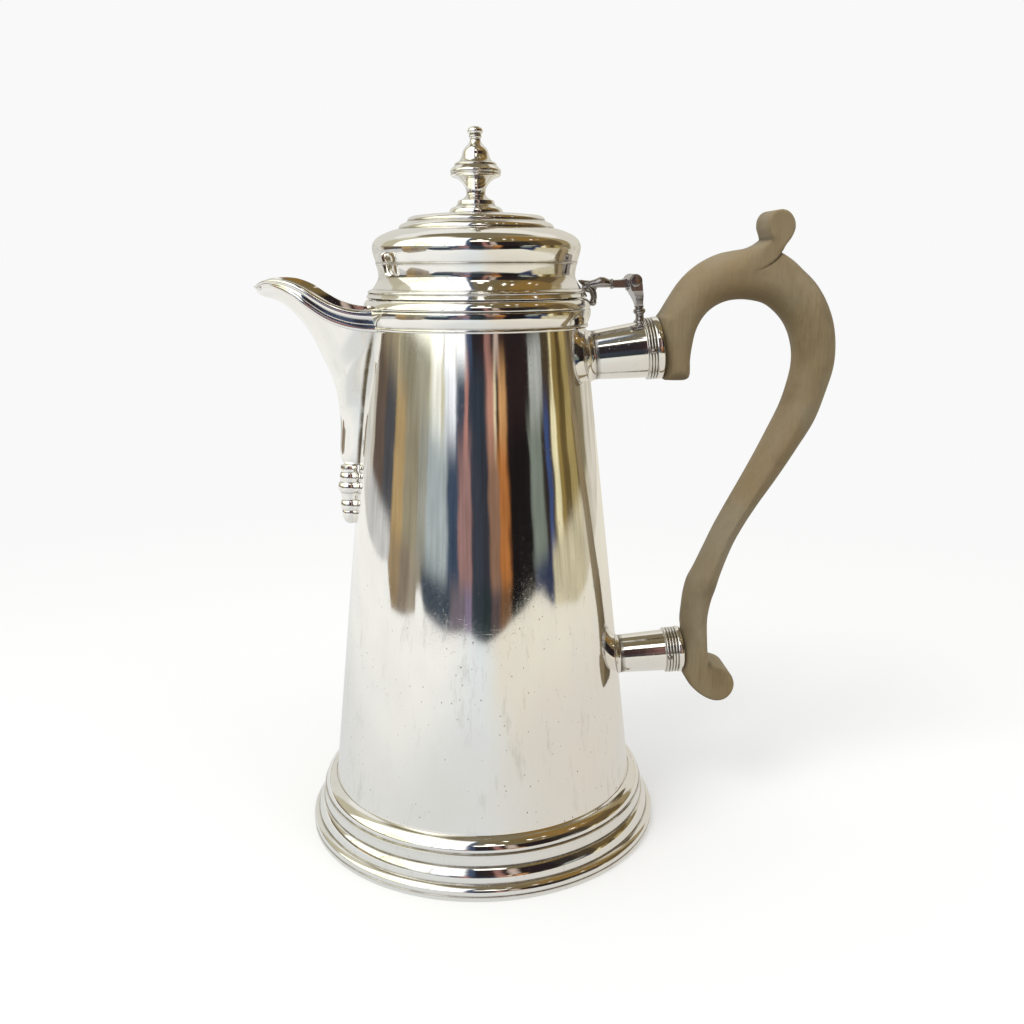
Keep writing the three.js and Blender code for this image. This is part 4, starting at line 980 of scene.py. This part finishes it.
arm_parts = [
    plate_xz([(40.6, 169.98), (46.95, 169.98), (47.0, 174.0), (45.4, 173.1), (44.0, 172.5), (42.4, 172.32), (40.6, 172.3)], -2.25, 2.25),
    bar_y(KR, -KNUCKLE, KNUCKLE, HX, HZ),
    blob_x([(40.2, 171.15, 1.1, 1.8), (40.3, 171.15, 1.5, 2.35), (40.75, 171.15, 1.55, 2.4), (40.85, 171.15, 1.1, 1.8)], power=4),
    blob_x([(30.4, 172.2, 0.15, 0.2), (31.2, 171.8, 0.65, 0.9), (32.4, 171.25, 1.05, 1.5), (34.0, 171.0, 1.15, 1.8), (35.6, 171.25, 1.35, 1.95), (37.0, 171.65, 1.6, 2.1), (38.4, 171.6, 1.55, 2.0), (39.6, 171.35, 1.25, 1.7), (40.4, 171.2, 1.0, 1.5)], power=2.2),
    # root and scroll bracket under the leaf
    blob_x([(31.6, 170.4, 0.7, 1.2), (33.0, 170.0, 1.3, 1.5), (34.6, 169.9, 1.5, 1.4), (36.0, 170.3, 0.8, 1.0)], power=2.2),
]
bracket = spline([(33.6, 170.3), (34.4, 169.6), (34.95, 168.7), (35.2, 167.7), (35.2, 166.8), (34.95, 166.0)], 6)
rows = []
for i, (x, z) in enumerate(bracket):
    k = i / (len(bracket) - 1)
    a, b = bracket[max(0, i - 1)], bracket[min(len(bracket) - 1, i + 1)]
    d = (b - a) / np.linalg.norm(b - a)
    nx, nz = -d[1], d[0]
    w, h = 1.7 - 0.4 * k, 1.15 - 0.25 * k
    aa = np.arange(20) * 2 * math.pi / 20
    rows.append(np.stack([x + nx * h * np.cos(aa), w * np.sin(aa), z + nz * h * np.cos(aa)], -1))
arm_parts.append(sweep(rows))
bud = []
for u in np.linspace(-1, 1, 13):
    rr = math.sqrt(max(0.0004, 1 - u * u))
    aa = np.arange(20) * 2 * math.pi / 20
    bud.append(np.stack([34.95 + 1.15 * rr * np.cos(aa), np.full(20, 1.75 * u), 165.75 + 1.15 * rr * np.sin(aa)], -1))
arm_parts.append(sweep(bud))
fuse("lid_arm_skin", arm_parts, SILVER_SMALL, "lid", ("lid_arm",), voxel=0.12, smooth=3)

# ---------------------------------------------------------------- handle
OUTLINE = [  # [x, z] round the edge; a 1 marks a corner
    (57.0, 142.35, 1), (60.5, 142.2), (63.2, 142.3), (64.3, 142.9), (64.7, 144.2), (64.55, 148.4), (65.0, 152.6), (66.1, 157.2), (68.3, 161.0), (71.2, 163.7),
    (75.0, 165.6), (79.4, 166.3), (84.2, 165.9), (87.7, 164.9), (91.0, 162.6), (94.2, 159.0), (96.2, 154.9), (97.35, 150.0), (97.35, 145.6), (96.3, 140.2),
    (94.4, 133.9), (90.9, 126.2), (87.0, 118.1), (82.5, 109.4), (77.9, 100.8), (74.9, 94.9), (71.7, 87.8), (68.9, 81.6), (66.9, 77.6), (65.9, 73.6),
    (65.3, 68.5), (65.0, 63.6), (65.25, 61.4, 1), (65.5, 53.6), (65.7, 46.3, 1), (67.7, 43.2), (71.1, 40.0), (74.4, 38.1), (77.1, 37.6), (79.4, 38.2), (81.3, 40.1),
    (82.1, 42.6), (81.7, 45.1), (80.4, 47.3), (78.4, 48.7), (76.0, 49.5), (73.9, 50.4, 1), (73.4, 53.0), (73.6, 60.0), (74.0, 65.5), (74.9, 70.5), (76.2, 74.6),
    (77.4, 79.0), (80.9, 88.8), (84.0, 95.0), (88.3, 102.1), (94.2, 110.9), (100.0, 120.2), (105.0, 128.9), (108.1, 138.0), (110.0, 145.2), (110.35, 150.6),
    (109.7, 157.0), (108.2, 162.2), (105.4, 167.8), (101.8, 172.4), (96.8, 176.5), (92.6, 179.0), (90.5, 180.1, 1), (91.3, 182.0), (93.1, 184.6), (94.0, 187.2),
    (93.5, 189.8), (91.8, 191.8), (89.6, 192.4), (87.4, 191.7), (86.1, 189.8), (86.0, 187.3), (86.7, 185.3), (87.1, 183.9, 1), (85.0, 182.5), (82.0, 181.4),
    (77.3, 180.7), (73.2, 179.9), (68.6, 177.9), (64.4, 175.0), (60.9, 171.3), (57.9, 166.3), (55.9, 162.6), (54.9, 161.2, 1),
]
HALF = 7.2
corner = [i for i, p in enumerate(OUTLINE) if len(p) > 2]
loop = OUTLINE[corner[0] :] + OUTLINE[: corner[0]] + [OUTLINE[corner[0]]]
pts, run = [], [loop[0][:2]]
for p in loop[1:]:
    run.append(p[:2])
    if len(p) > 2:
        s = spline(run, 10)
        pts.append(s[:-1])
        run = [p[:2]]
edge = np.vstack(pts)
# even spacing
seg = np.linalg.norm(np.roll(edge, -1, 0) - edge, axis=1)
cum = np.concatenate([[0], np.cumsum(seg)])
count = int(cum[-1] / 0.42)
closed = np.vstack([edge, edge[:1]])
u = np.linspace(0, cum[-1], count + 1)[:-1]
ring = np.stack([np.interp(u, cum, closed[:, 0]), np.interp(u, cum, closed[:, 1])], -1)
A, B = ring, np.roll(ring, -1, 0)


def edge_distance(p):
    """Distance from each point to the handle's outline."""
    out = np.full(len(p), 1e9)
    ab = B - A
    l2 = (ab**2).sum(1)
    for i in range(0, len(p), 400):
        q = p[i : i + 400, None, :]
        t = np.clip(((q - A) * ab).sum(2) / l2, 0, 1)
        d = np.linalg.norm(q - (A + ab * t[..., None]), axis=2)
        out[i : i + 400] = d.min(1)
    return out


def inside(p):
    x, z = p[:, 0:1], p[:, 1:2]
    c = ((A[:, 1] > z) != (B[:, 1] > z)) & (x < (B[:, 0] - A[:, 0]) * (z - A[:, 1]) / (B[:, 1] - A[:, 1] + 1e-12) + A[:, 0])
    return c.sum(1) % 2 == 1


GROOVE = spline([(90.7, 180.3), (88.6, 177.9), (86.2, 176.2), (83.4, 175.0), (81.4, 174.6)], 10)
tang = np.roll(ring, -1, 0) - np.roll(ring, 1, 0)
tang /= np.linalg.norm(tang, axis=1, keepdims=True)
signed = 0.5 * np.sum(ring[:, 0] * np.roll(ring[:, 1], -1) - np.roll(ring[:, 0], -1) * ring[:, 1])
inward = np.stack([-tang[:, 1], tang[:, 0]], -1) * np.sign(signed)
cloud = []
for d in (0.07, 0.22, 0.5, 0.95, 1.55, 2.3):
    c = ring + inward * d
    if d > 1.2:
        c = c[::2]
    cloud.append(c[edge_distance(c) > d * 0.93])
gt = np.gradient(GROOVE, axis=0)
gt /= np.linalg.norm(gt, axis=1, keepdims=True)
gn = np.stack([-gt[:, 1], gt[:, 0]], -1)
for d in (-0.7, -0.4, -0.2, 0, 0.2, 0.4, 0.7):
    cloud.append(GROOVE + gn * d)
gx, gz = np.meshgrid(np.arange(54, 111, 0.75), np.arange(37, 193, 0.66))
gx = gx + (np.arange(gx.shape[0]) % 2)[:, None] * 0.375
grid = np.stack([gx.ravel(), gz.ravel()], -1)
grid = grid[inside(grid)]
gd = edge_distance(grid)
grid = grid[gd > 2.6]
near = np.linalg.norm(grid[:, None] - GROOVE[None], axis=2).min(1)
cloud.append(grid[near > 0.9])
cloud = np.vstack(cloud)
cloud = cloud[inside(cloud)]
cloud = cloud[edge_distance(cloud) > 0.05]
# thin out points that fall on one another
key = np.round(cloud / 0.16).astype(int)
_, first = np.unique(key, axis=0, return_index=True)
cloud = cloud[np.sort(first)]
nring = len(ring)
verts2 = [Vector((float(a), float(b))) for a, b in np.vstack([ring, cloud])]
edges2 = [(i, (i + 1) % nring) for i in range(nring)]
res = delaunay_2d_cdt(verts2, edges2, [], 1, 1e-6)
P2 = np.array([v[:] for v in res[0]])
T2 = [t for t in res[2]]
orig = res[3]
dist = edge_distance(P2)
on_edge = np.array([any(i < nring for i in ids) for ids in orig])
dist[on_edge] = 0


def smoothstep(x):
    x = np.clip(x, 0, 1)
    return x * x * (3 - 2 * x)


def rounding(p):
    """How round the long edges are, in mm: full on the limbs, crisp at both scrolls, less at the socket."""
    thumb = smoothstep((np.hypot(p[:, 0] - 90.0, p[:, 1] - 187.5) - 5.0) / 12.0)
    low = smoothstep((np.hypot(p[:, 0] - 77.0, p[:, 1] - 43.2) - 6.5) / 16.0)
    sock = smoothstep((np.hypot(p[:, 0] - 56.0, p[:, 1] - 152.0) - 6.0) / 16.0)
    return 0.55 + 6.3 * np.minimum(thumb, low) * (0.50 + 0.50 * sock)


def half_thickness(p):
    """The handle thins slightly down its length."""
    return HALF - 0.25 * smoothstep((120.0 - p[:, 1]) / 60.0) - 0.15 * smoothstep((p[:, 1] - 182.0) / 6.0)


def face_height(p, d):
    r = rounding(p)
    k = 1 - np.clip(d / r, 0, 1)
    h = half_thickness(p) - r * (1 - np.sqrt(np.clip(1 - k * k, 0, 1)))
    dd = np.linalg.norm(p[:, None] - GROOVE[None], axis=2)
    j = dd.argmin(1)
    dm = dd.min(1)
    fade = 1 - smoothstep(j / (len(GROOVE) - 1))
    side = ((p - GROOVE[j]) * gn[j]).sum(1)  # one side of the carved line stands lower
    lower = np.where(side * SIDE > 0, np.exp(-((dm / 3.2) ** 2)), 0.0)
    return h - fade * (0.45 * np.exp(-((dm / 0.30) ** 2)) + 0.38 * lower)


# the ground right of and below the carved line is the lower side
probe = np.array([[89.5, 176.5]])
jj = np.linalg.norm(probe[:, None] - GROOVE[None], axis=2).argmin(1)
SIDE = float(np.sign(((probe - GROOVE[jj]) * gn[jj]).sum()))
H = face_height(P2, dist)
nv = len(P2)
top = np.stack([P2[:, 0], H, P2[:, 1]], -1)
bot = np.stack([P2[:, 0], -H, P2[:, 1]], -1)
hv = np.vstack([top, bot])
hf = [tuple(t) for t in T2] + [tuple(nv + i for i in t[::-1]) for t in T2]
# side wall: join the two faces' edges through a few rows
loop_ids = [None] * nring
for new, ids in enumerate(orig):
    for i in ids:
        if i < nring:
            loop_ids[i] = new
wall_rows = 7
wall = []
for k in range(1, wall_rows):
    f = 1 - 2 * k / wall_rows
    wall.append(np.stack([P2[loop_ids, 0], H[loop_ids] * f, P2[loop_ids, 1]], -1))
start = len(hv)
hv = np.vstack([hv] + wall)
levels = [list(loop_ids)] + [list(range(start + k * nring, start + (k + 1) * nring)) for k in range(wall_rows - 1)] + [[nv + i for i in loop_ids]]
for a, b in zip(levels[:-1], levels[1:]):
    for i in range(nring):
        j = (i + 1) % nring
        hf.append((a[i], a[j], b[j], b[i]))
# crease grime: in the carved line and where the outline turns sharply inward
cavv = np.zeros(len(hv))
gd2 = np.linalg.norm(hv[:, None, [0, 2]] - GROOVE[None], axis=2)
gj = gd2.argmin(1)
cavv = np.exp(-((gd2.min(1) / 0.35) ** 2)) * (1 - smoothstep(gj / (len(GROOVE) - 1))) * 0.9
for cx, cz in ((90.6, 180.2), (87.0, 183.9), (73.9, 50.4)):
    cavv = np.maximum(cavv, 0.75 * np.exp(-((np.hypot(hv[:, 0] - cx, hv[:, 2] - cz) / 0.9) ** 2)))
make("handle_skin", hv, hf, WOOD, "pot", ("handle",), 42, cavv)


# ---------------------------------------------------------------- stage: floor, reflected table, room and light
def stage_plane(name, outline, z, material):
    me = bpy.data.meshes.new(name)
    me.from_pydata([(x / 1000, y / 1000, z / 1000) for x, y in outline], [], [tuple(range(len(outline)))])
    o = bpy.data.objects.new(name, me)
    SC.collection.objects.link(o)
    me.materials.append(material)
    return o


m, N, L = new_material("stage_floor")
out = node(N, "ShaderNodeOutputMaterial")
dif = node(N, "ShaderNodeBsdfDiffuse")
dif.inputs["Color"].default_value = (0.90, 0.90, 0.885, 1)
emi = node(N, "ShaderNodeEmission")
emi.inputs["Color"].default_value = (0.945, 0.948, 0.945, 1)
pos = node(N, "ShaderNodeTexCoord").outputs["Object"]
length = node(N, "ShaderNodeVectorMath", operation="LENGTH")
L.new(pos, length.inputs[0])
fade = map_range(N, L, length.outputs["Value"], 0.16, 0.55, 0.25, 1.0, smooth=True)
mixs = node(N, "ShaderNodeMixShader")
L.new(fade, mixs.inputs[0])
L.new(dif.outputs[0], mixs.inputs[1])
L.new(emi.outputs[0], mixs.inputs[2])
L.new(mixs.outputs[0], out.inputs[0])
circle = [(6000 * math.cos(a), 6000 * math.sin(a)) for a in np.linspace(0, 2 * math.pi, 97)[:-1]]
floor = stage_plane("stage_floor_disc", circle, 0.0, m)
floor.visible_glossy = False
floor.visible_diffuse = False

m, N, L = new_material("stage_table")
out = node(N, "ShaderNodeOutputMaterial")
dif = node(N, "ShaderNodeBsdfDiffuse")
dif.inputs["Color"].default_value = (0.90, 0.88, 0.84, 1)
emi = node(N, "ShaderNodeEmission")
co = node(N, "ShaderNodeTexCoord").outputs["Object"]
sep = node(N, "ShaderNodeSeparateXYZ")
L.new(co, sep.inputs[0])
wob = noise(N, L, co, 6.0, 2.0)
side = math_node(N, L, "ADD", sep.outputs["X"], math_node(N, L, "MULTIPLY", math_node(N, L, "SUBTRACT", wob, 0.5), 0.12))
# painted light and shade: masks by side that take the table from its lit, cool left through a greyer middle to a warm,
# darker right
painted_shade_middle_mask = map_range(N, L, side, -0.24, -0.06, 0.0, 1.0, smooth=True)
painted_shade_right_mask = map_range(N, L, side, -0.05, 0.09, 0.0, 1.0, smooth=True)
far = node(N, "ShaderNodeVectorMath", operation="LENGTH")
L.new(co, far.inputs[0])
# painted shadow: every tone is darker near the pot, standing in for the shade the pot casts on the table
reach = map_range(N, L, far.outputs["Value"], 0.10, 0.46, 0.0, 1.0, smooth=True)
left = mix_color(N, L, reach, (0.88, 0.885, 0.85), (1.0, 1.0, 0.96))
painted_shade_middle = mix_color(N, L, reach, (0.72, 0.74, 0.73), (0.80, 0.865, 0.89))
painted_shade_right = mix_color(N, L, reach, (0.70, 0.655, 0.57), (0.82, 0.77, 0.63))
col = mix_color(N, L, painted_shade_right_mask, mix_color(N, L, painted_shade_middle_mask, left, painted_shade_middle), painted_shade_right)
soft = noise(N, L, mapping(N, L, co, location=(4, 4, 0)), 9.0, 3.0)
col = mix_color(N, L, map_range(N, L, soft, 0.35, 0.7, 0.0, 0.18), col, (0.62, 0.60, 0.63))
L.new(col, emi.inputs["Color"])
mixs = node(N, "ShaderNodeMixShader")
mixs.inputs[0].default_value = 0.78
L.new(dif.outputs[0], mixs.inputs[1])
L.new(emi.outputs[0], mixs.inputs[2])
L.new(mixs.outputs[0], out.inputs[0])
# the sheet the pot stands on, as its polished side sees it: wavy front edge, sides and back further off. It glows with
# painted light and shade: brighter and cooler on the left, greyer in the middle, warmer and darker on the right, and
# darker near the pot as a painted shadow of the pot
table = [
    (-560, 900), (-585, 600), (-591, 417), (-611, 308), (-643, 218), (-700, 60), (-740, -20), (-612, -57), (-519, -83), (-512, -191), (-515, -323),
    (-640, -400), (-650, -462), (-560, -440), (-496, -416), (-382, -460), (-275, -509), (-200, -560), (-130, -579), (-56, -551), (0, -540), (57, -552),
    (185, -582), (300, -575), (404, -563), (515, -541), (540, -470), (490, -313), (492, -162), (457, -23), (465, 60), (473, 109), (489, 185), (483, 277),
    (450, 387), (430, 600), (420, 900),
]
mirror_table = stage_plane("stage_table_sheet", table, -0.15, m)
mirror_table.visible_camera = False
mirror_table.visible_diffuse = False
mirror_table.visible_shadow = False

world = bpy.data.worlds.new("studio")
SC.world = world
world.use_nodes = True
N, L = world.node_tree.nodes, world.node_tree.links
N.clear()
out = node(N, "ShaderNodeOutputWorld")
bg = node(N, "ShaderNodeBackground")
L.new(bg.outputs[0], out.inputs[0])
gen = node(N, "ShaderNodeTexCoord").outputs["Generated"]
sep = node(N, "ShaderNodeSeparateXYZ")
L.new(gen, sep.inputs[0])
az = math_node(N, L, "ARCTAN2", sep.outputs["X"], math_node(N, L, "MULTIPLY", sep.outputs["Y"], -1.0))
az = math_node(N, L, "MULTIPLY", az, 180 / math.pi)
el = math_node(N, L, "MULTIPLY", math_node(N, L, "ARCSINE", sep.outputs["Z"]), 180 / math.pi)
wav = noise(N, L, mapping(N, L, gen, scale=(2.0, 2.0, 7.0)), 3.0, 2.0)
azw = math_node(N, L, "ADD", az, math_node(N, L, "MULTIPLY", math_node(N, L, "SUBTRACT", wav, 0.5), 7.0))


def strips(rows, soft=0.004):
    """Colour by azimuth in degrees; each row is [azimuth where it starts, colour], held until the next row."""
    r = node(N, "ShaderNodeValToRGB")
    r.color_ramp.interpolation = "LINEAR"
    while len(r.color_ramp.elements) > 1:
        r.color_ramp.elements.remove(r.color_ramp.elements[-1])
    first = True
    for i, (a, c) in enumerate(rows):
        lo = (a + 180) / 360
        hi = ((rows[i + 1][0] if i + 1 < len(rows) else 180) + 180) / 360
        for pos_ in (lo + soft / 2 if i else 0.0, hi - soft / 2 if i + 1 < len(rows) else 1.0):
            if first:
                e = r.color_ramp.elements[0]
                e.position = pos_
                first = False
            else:
                e = r.color_ramp.elements.new(min(1.0, max(0.0, pos_)))
            e.color = (*srgb(*c), 1)
    L.new(map_range(N, L, azw, -180, 180, 0, 1), r.inputs[0])
    return r.outputs[0]


def two(left, right_):
    """One ramp for each side of the front, joined at azimuth 0."""
    return mix_color(N, L, map_range(N, L, azw, -0.3, 0.3, 0, 1), strips(left), strips(right_))


room = two(
    [
        (-180, (214, 212, 205)), (-131, (172, 162, 138)), (-125, (152, 140, 114)), (-89, (192, 182, 152)), (-87, (148, 142, 120)), (-68, (158, 155, 136)),
        (-51, (196, 194, 168)), (-48, (252, 252, 240)), (-37, (206, 196, 150)), (-35, (246, 250, 255)), (-23, (60, 72, 90)), (-16, (190, 134, 122)), (-12, (54, 62, 74)),
    ],
    [
        (-180, (50, 58, 68)), (6, (186, 136, 118)), (14, (245, 235, 195)), (16, (50, 36, 32)), (19, (206, 156, 104)), (25, (42, 31, 31)), (50, (170, 173, 168)), (64, (76, 64, 46)),
        (75, (236, 222, 170)), (78, (138, 116, 68)), (85, (88, 70, 40)), (91, (172, 152, 98)), (98, (108, 90, 52)), (105, (148, 130, 84)), (113, (122, 106, 72)), (121, (212, 208, 194)),
    ],
)
mid_room = two(
    [
        (-180, (216, 214, 206)), (-128, (190, 184, 170)), (-122, (100, 86, 76)), (-104, (80, 80, 84)), (-89, (180, 154, 110)), (-76, (150, 142, 120)), (-60, (158, 158, 148)),
        (-51, (170, 180, 182)), (-31, (62, 76, 96)), (-21, (152, 118, 114)), (-9, (58, 62, 72)),
    ],
    [
        (-180, (54, 56, 64)), (7, (140, 108, 88)), (16, (172, 110, 60)), (25, (29, 25, 25)), (46, (122, 130, 120)), (60, (50, 44, 40)), (64, (62, 78, 122)), (69, (60, 50, 40)),
        (72, (238, 228, 186)), (78, (148, 126, 72)), (84, (98, 82, 48)), (92, (162, 144, 94)), (102, (110, 96, 60)), (110, (132, 122, 96)), (122, (208, 202, 188)),
    ],
)
low_room = two(
    [
        (-180, (218, 216, 210)), (-127, (205, 205, 203)), (-90, (152, 132, 102)), (-77, (138, 124, 108)), (-66, (156, 146, 128)), (-55, (60, 70, 82)), (-29, (112, 104, 112)),
        (-16, (130, 118, 140)), (-9, (54, 62, 68)),
    ],
    [
        (-180, (44, 54, 56)), (6, (88, 76, 76)), (14, (116, 84, 58)), (24, (25, 24, 25)), (47, (46, 54, 82)), (65, (202, 192, 162)), (104, (202, 194, 170)), (122, (214, 208, 194)),
    ],
)
lid_room = two(
    [(-180, (216, 214, 206)), (-128, (190, 184, 160)), (-104, (255, 255, 240)), (-44, (252, 254, 255)), (-14, (66, 80, 106)), (-8, (42, 37, 40))],
    [
        (-180, (52, 38, 38)), (5, (150, 110, 104)), (10, (48, 38, 38)), (14, (192, 172, 160)), (20, (38, 29, 30)), (45, (48, 42, 38)), (60, (70, 60, 46)), (75, (100, 82, 54)),
        (108, (150, 134, 100)), (124, (214, 210, 198)),
    ],
)
ceil = two(
    [(-180, (236, 235, 229)), (-130, (204, 200, 178)), (-104, (255, 255, 244)), (-42, (250, 252, 255)), (-15, (80, 92, 108)), (-9, (112, 105, 86))],
    [(-180, (112, 101, 74)), (30, (116, 98, 62)), (58, (136, 106, 56)), (92, (128, 104, 60)), (112, (170, 156, 122)), (126, (234, 230, 220))],
)
# a run of small lamps, one long lamp in front, and a tint of leaves in the window
tint = noise(N, L, mapping(N, L, gen, scale=(4, 4, 5), location=(3, 3, 1)), 2.0, 2.0)
leaf = math_node(N, L, "MULTIPLY", map_range(N, L, az, -100, -94, 0, 1), map_range(N, L, az, -56, -50, 1, 0))
leaf = math_node(N, L, "MULTIPLY", leaf, map_range(N, L, el, 6, 12, 0, 1))
leaf = math_node(N, L, "MULTIPLY", leaf, map_range(N, L, el, 34, 46, 1, 0))
leaf = math_node(N, L, "MULTIPLY", leaf, map_range(N, L, tint, 0.44, 0.58, 0, 0.75))
lid_room = mix_color(N, L, leaf, lid_room, (0.88, 0.93, 0.42))
lamp = node(N, "ShaderNodeTexVoronoi", feature="F1")
lamp.inputs["Scale"].default_value = 1.0
lamp.inputs["Randomness"].default_value = 0.75
cv = node(N, "ShaderNodeCombineXYZ")
L.new(math_node(N, L, "DIVIDE", az, 10.0), cv.inputs[0])
L.new(math_node(N, L, "DIVIDE", el, 11.0), cv.inputs[1])
L.new(cv.outputs[0], lamp.inputs["Vector"])
dots = map_range(N, L, lamp.outputs["Distance"], 0.19, 0.28, 1.0, 0.0)
zone = math_node(N, L, "MULTIPLY", map_range(N, L, az, 18, 20, 0, 1), map_range(N, L, az, 88, 90, 1, 0))
zone = math_node(N, L, "MULTIPLY", zone, math_node(N, L, "MULTIPLY", map_range(N, L, el, 42, 44, 0, 1), map_range(N, L, el, 68, 70, 1, 0)))
dots = math_node(N, L, "MULTIPLY", dots, zone)
ceil = mix_color(N, L, dots, ceil, (3.0, 2.95, 2.7))


def window(a0, a1, e0, e1, soft=1.2):
    a = math_node(N, L, "MULTIPLY", map_range(N, L, az, a0, a0 + soft, 0, 1), map_range(N, L, az, a1 - soft, a1, 1, 0))
    return math_node(N, L, "MULTIPLY", a, math_node(N, L, "MULTIPLY", map_range(N, L, el, e0, e0 + soft, 0, 1), map_range(N, L, el, e1 - soft, e1, 1, 0)))


streak = noise(N, L, cv.outputs[0], 1.0, 1.0)
cv2 = node(N, "ShaderNodeCombineXYZ")
L.new(math_node(N, L, "MULTIPLY", az, 0.62), cv2.inputs[0])
L.new(math_node(N, L, "MULTIPLY", el, 0.11), cv2.inputs[1])
streak = noise(N, L, cv2.outputs[0], 1.0, 4.0, 0.6)
streak = map_range(N, L, streak, 0.30, 0.70, 0.80, 1.16)
haze = noise(N, L, mapping(N, L, gen, scale=(2.2, 2.2, 9.0)), 2.5, 3.0)
haze = map_range(N, L, haze, 0.32, 0.70, 0.84, 1.12)
band = mix_color(N, L, map_range(N, L, el, 0.8, 4.6, 0.0, 1.0, smooth=True), mid_room, room)
band = mix_color(N, L, map_range(N, L, el, -6.2, -4.8, 0.0, 1.0, smooth=True), low_room, band)
band = mix_color(N, L, math_node(N, L, "MULTIPLY", map_range(N, L, el, 16, 20, 1, 0), 1.0), band, mix_color(N, L, 1.0, band, streak, "MULTIPLY"))
band = mix_color(N, L, 1.0, band, haze, "MULTIPLY")
upper = mix_color(N, L, map_range(N, L, el, 5.6, 8.4, 0.0, 1.0, smooth=True), band, lid_room)
upper = mix_color(N, L, map_range(N, L, el, 34.0, 39.0, 0.0, 1.0, smooth=True), upper, ceil)
upper = mix_color(N, L, window(-10, 15, 40, 47), upper, (2.4, 2.35, 2.2))
upper = mix_color(N, L, window(-2, 9, 46, 58, 3.0), upper, (2.4, 2.35, 2.2))
upper = mix_color(N, L, window(-104, -14, 6, 84, 1.5), upper, mix_color(N, L, 1.0, upper, (1.5, 1.5, 1.5), "MULTIPLY"))
for a0, a1, e0, e1 in ((-98, -96.4, 6, 84), (-72, -70.2, 6, 84), (-37, -35, 6, 84), (-24.5, -23, 6, 84), (-104, -14, 33, 34.6)):
    bar = math_node(N, L, "MULTIPLY", window(a0, a1, e0, e1, 0.5), 0.7)
    upper = mix_color(N, L, bar, upper, (0.34, 0.33, 0.20))
behind = map_range(N, L, math_node(N, L, "ABSOLUTE", az), 112, 132, 0.0, 1.0, smooth=True)
roof = mix_color(N, L, haze, (0.13, 0.11, 0.07), (0.20, 0.165, 0.10))
over_front = map_range(N, L, el, 68.0, 80.0, 0.0, 1.0, smooth=True)
over_back = map_range(N, L, el, 50.0, 57.0, 0.0, 1.0, smooth=True)
over = mix_color(N, L, behind, over_front, over_back)
upper = mix_color(N, L, over, upper, roof)
below = mix_color(N, L, map_range(N, L, el, -30.0, -12.0, 0.0, 1.0, smooth=True), (0.80, 0.79, 0.76), upper)
lp = node(N, "ShaderNodeLightPath")
fill = mix_color(N, L, map_range(N, L, el, -12.0, 14.0, 0.0, 1.0, smooth=True), (0.30, 0.28, 0.24), (0.86, 0.865, 0.87))
plain = mix_color(N, L, lp.outputs["Is Camera Ray"], fill, (0.945, 0.948, 0.945))
L.new(mix_color(N, L, lp.outputs["Is Glossy Ray"], plain, below), bg.inputs["Color"])
bg.inputs["Strength"].default_value = 1.0


def area(name, loc, target, size, power, color=(1, 1, 1)):
    l = bpy.data.lights.new(name, "AREA")
    l.shape = "DISK"
    l.size = size
    l.energy = power
    l.color = color
    o = bpy.data.objects.new(name, l)
    SC.collection.objects.link(o)
    o.location = loc
    o.rotation_euler = (Vector(target) - Vector(loc)).to_track_quat("-Z", "Y").to_euler()
    o.visible_glossy = False
    o.visible_camera = False
    return o


area("key", (-0.55, -0.45, 0.95), (0.0, 0.0, 0.10), 0.55, 5.0, (1.0, 0.99, 0.97))
area("fill", (0.7, -0.5, 0.6), (0.0, 0.0, 0.10), 0.7, 1.6, (1.0, 0.98, 0.95))

# ---------------------------------------------------------------- camera
yaw, pitch, roll = math.radians(3.34), math.radians(13.53), math.radians(-0.30)
fwd = Vector((math.sin(yaw) * math.cos(pitch), math.cos(yaw) * math.cos(pitch), -math.sin(pitch)))
right = Vector((math.cos(yaw), -math.sin(yaw), 0))
upv = right.cross(fwd)
r = right * math.cos(roll) + upv * math.sin(roll)
u = -right * math.sin(roll) + upv * math.cos(roll)
cam = bpy.data.cameras.new("camera")
cam.sensor_width = 36.0
cam.sensor_fit = "HORIZONTAL"
cam.lens = 1024.5 / 1024 * 36.0
cam.clip_start = 0.01
cam.clip_end = 50
camera = bpy.data.objects.new("camera", cam)
SC.collection.objects.link(camera)
loc = Vector(((AXIS_X - 8.23) / 1000, -0.3144, 0.1767))
camera.matrix_world = Matrix(((r.x, u.x, -fwd.x, loc.x), (r.y, u.y, -fwd.y, loc.y), (r.z, u.z, -fwd.z, loc.z), (0, 0, 0, 1)))
SC.camera = camera
SC.view_settings.view_transform = "Standard"
SC.view_settings.look = "None"
SC.render.film_transparent = False
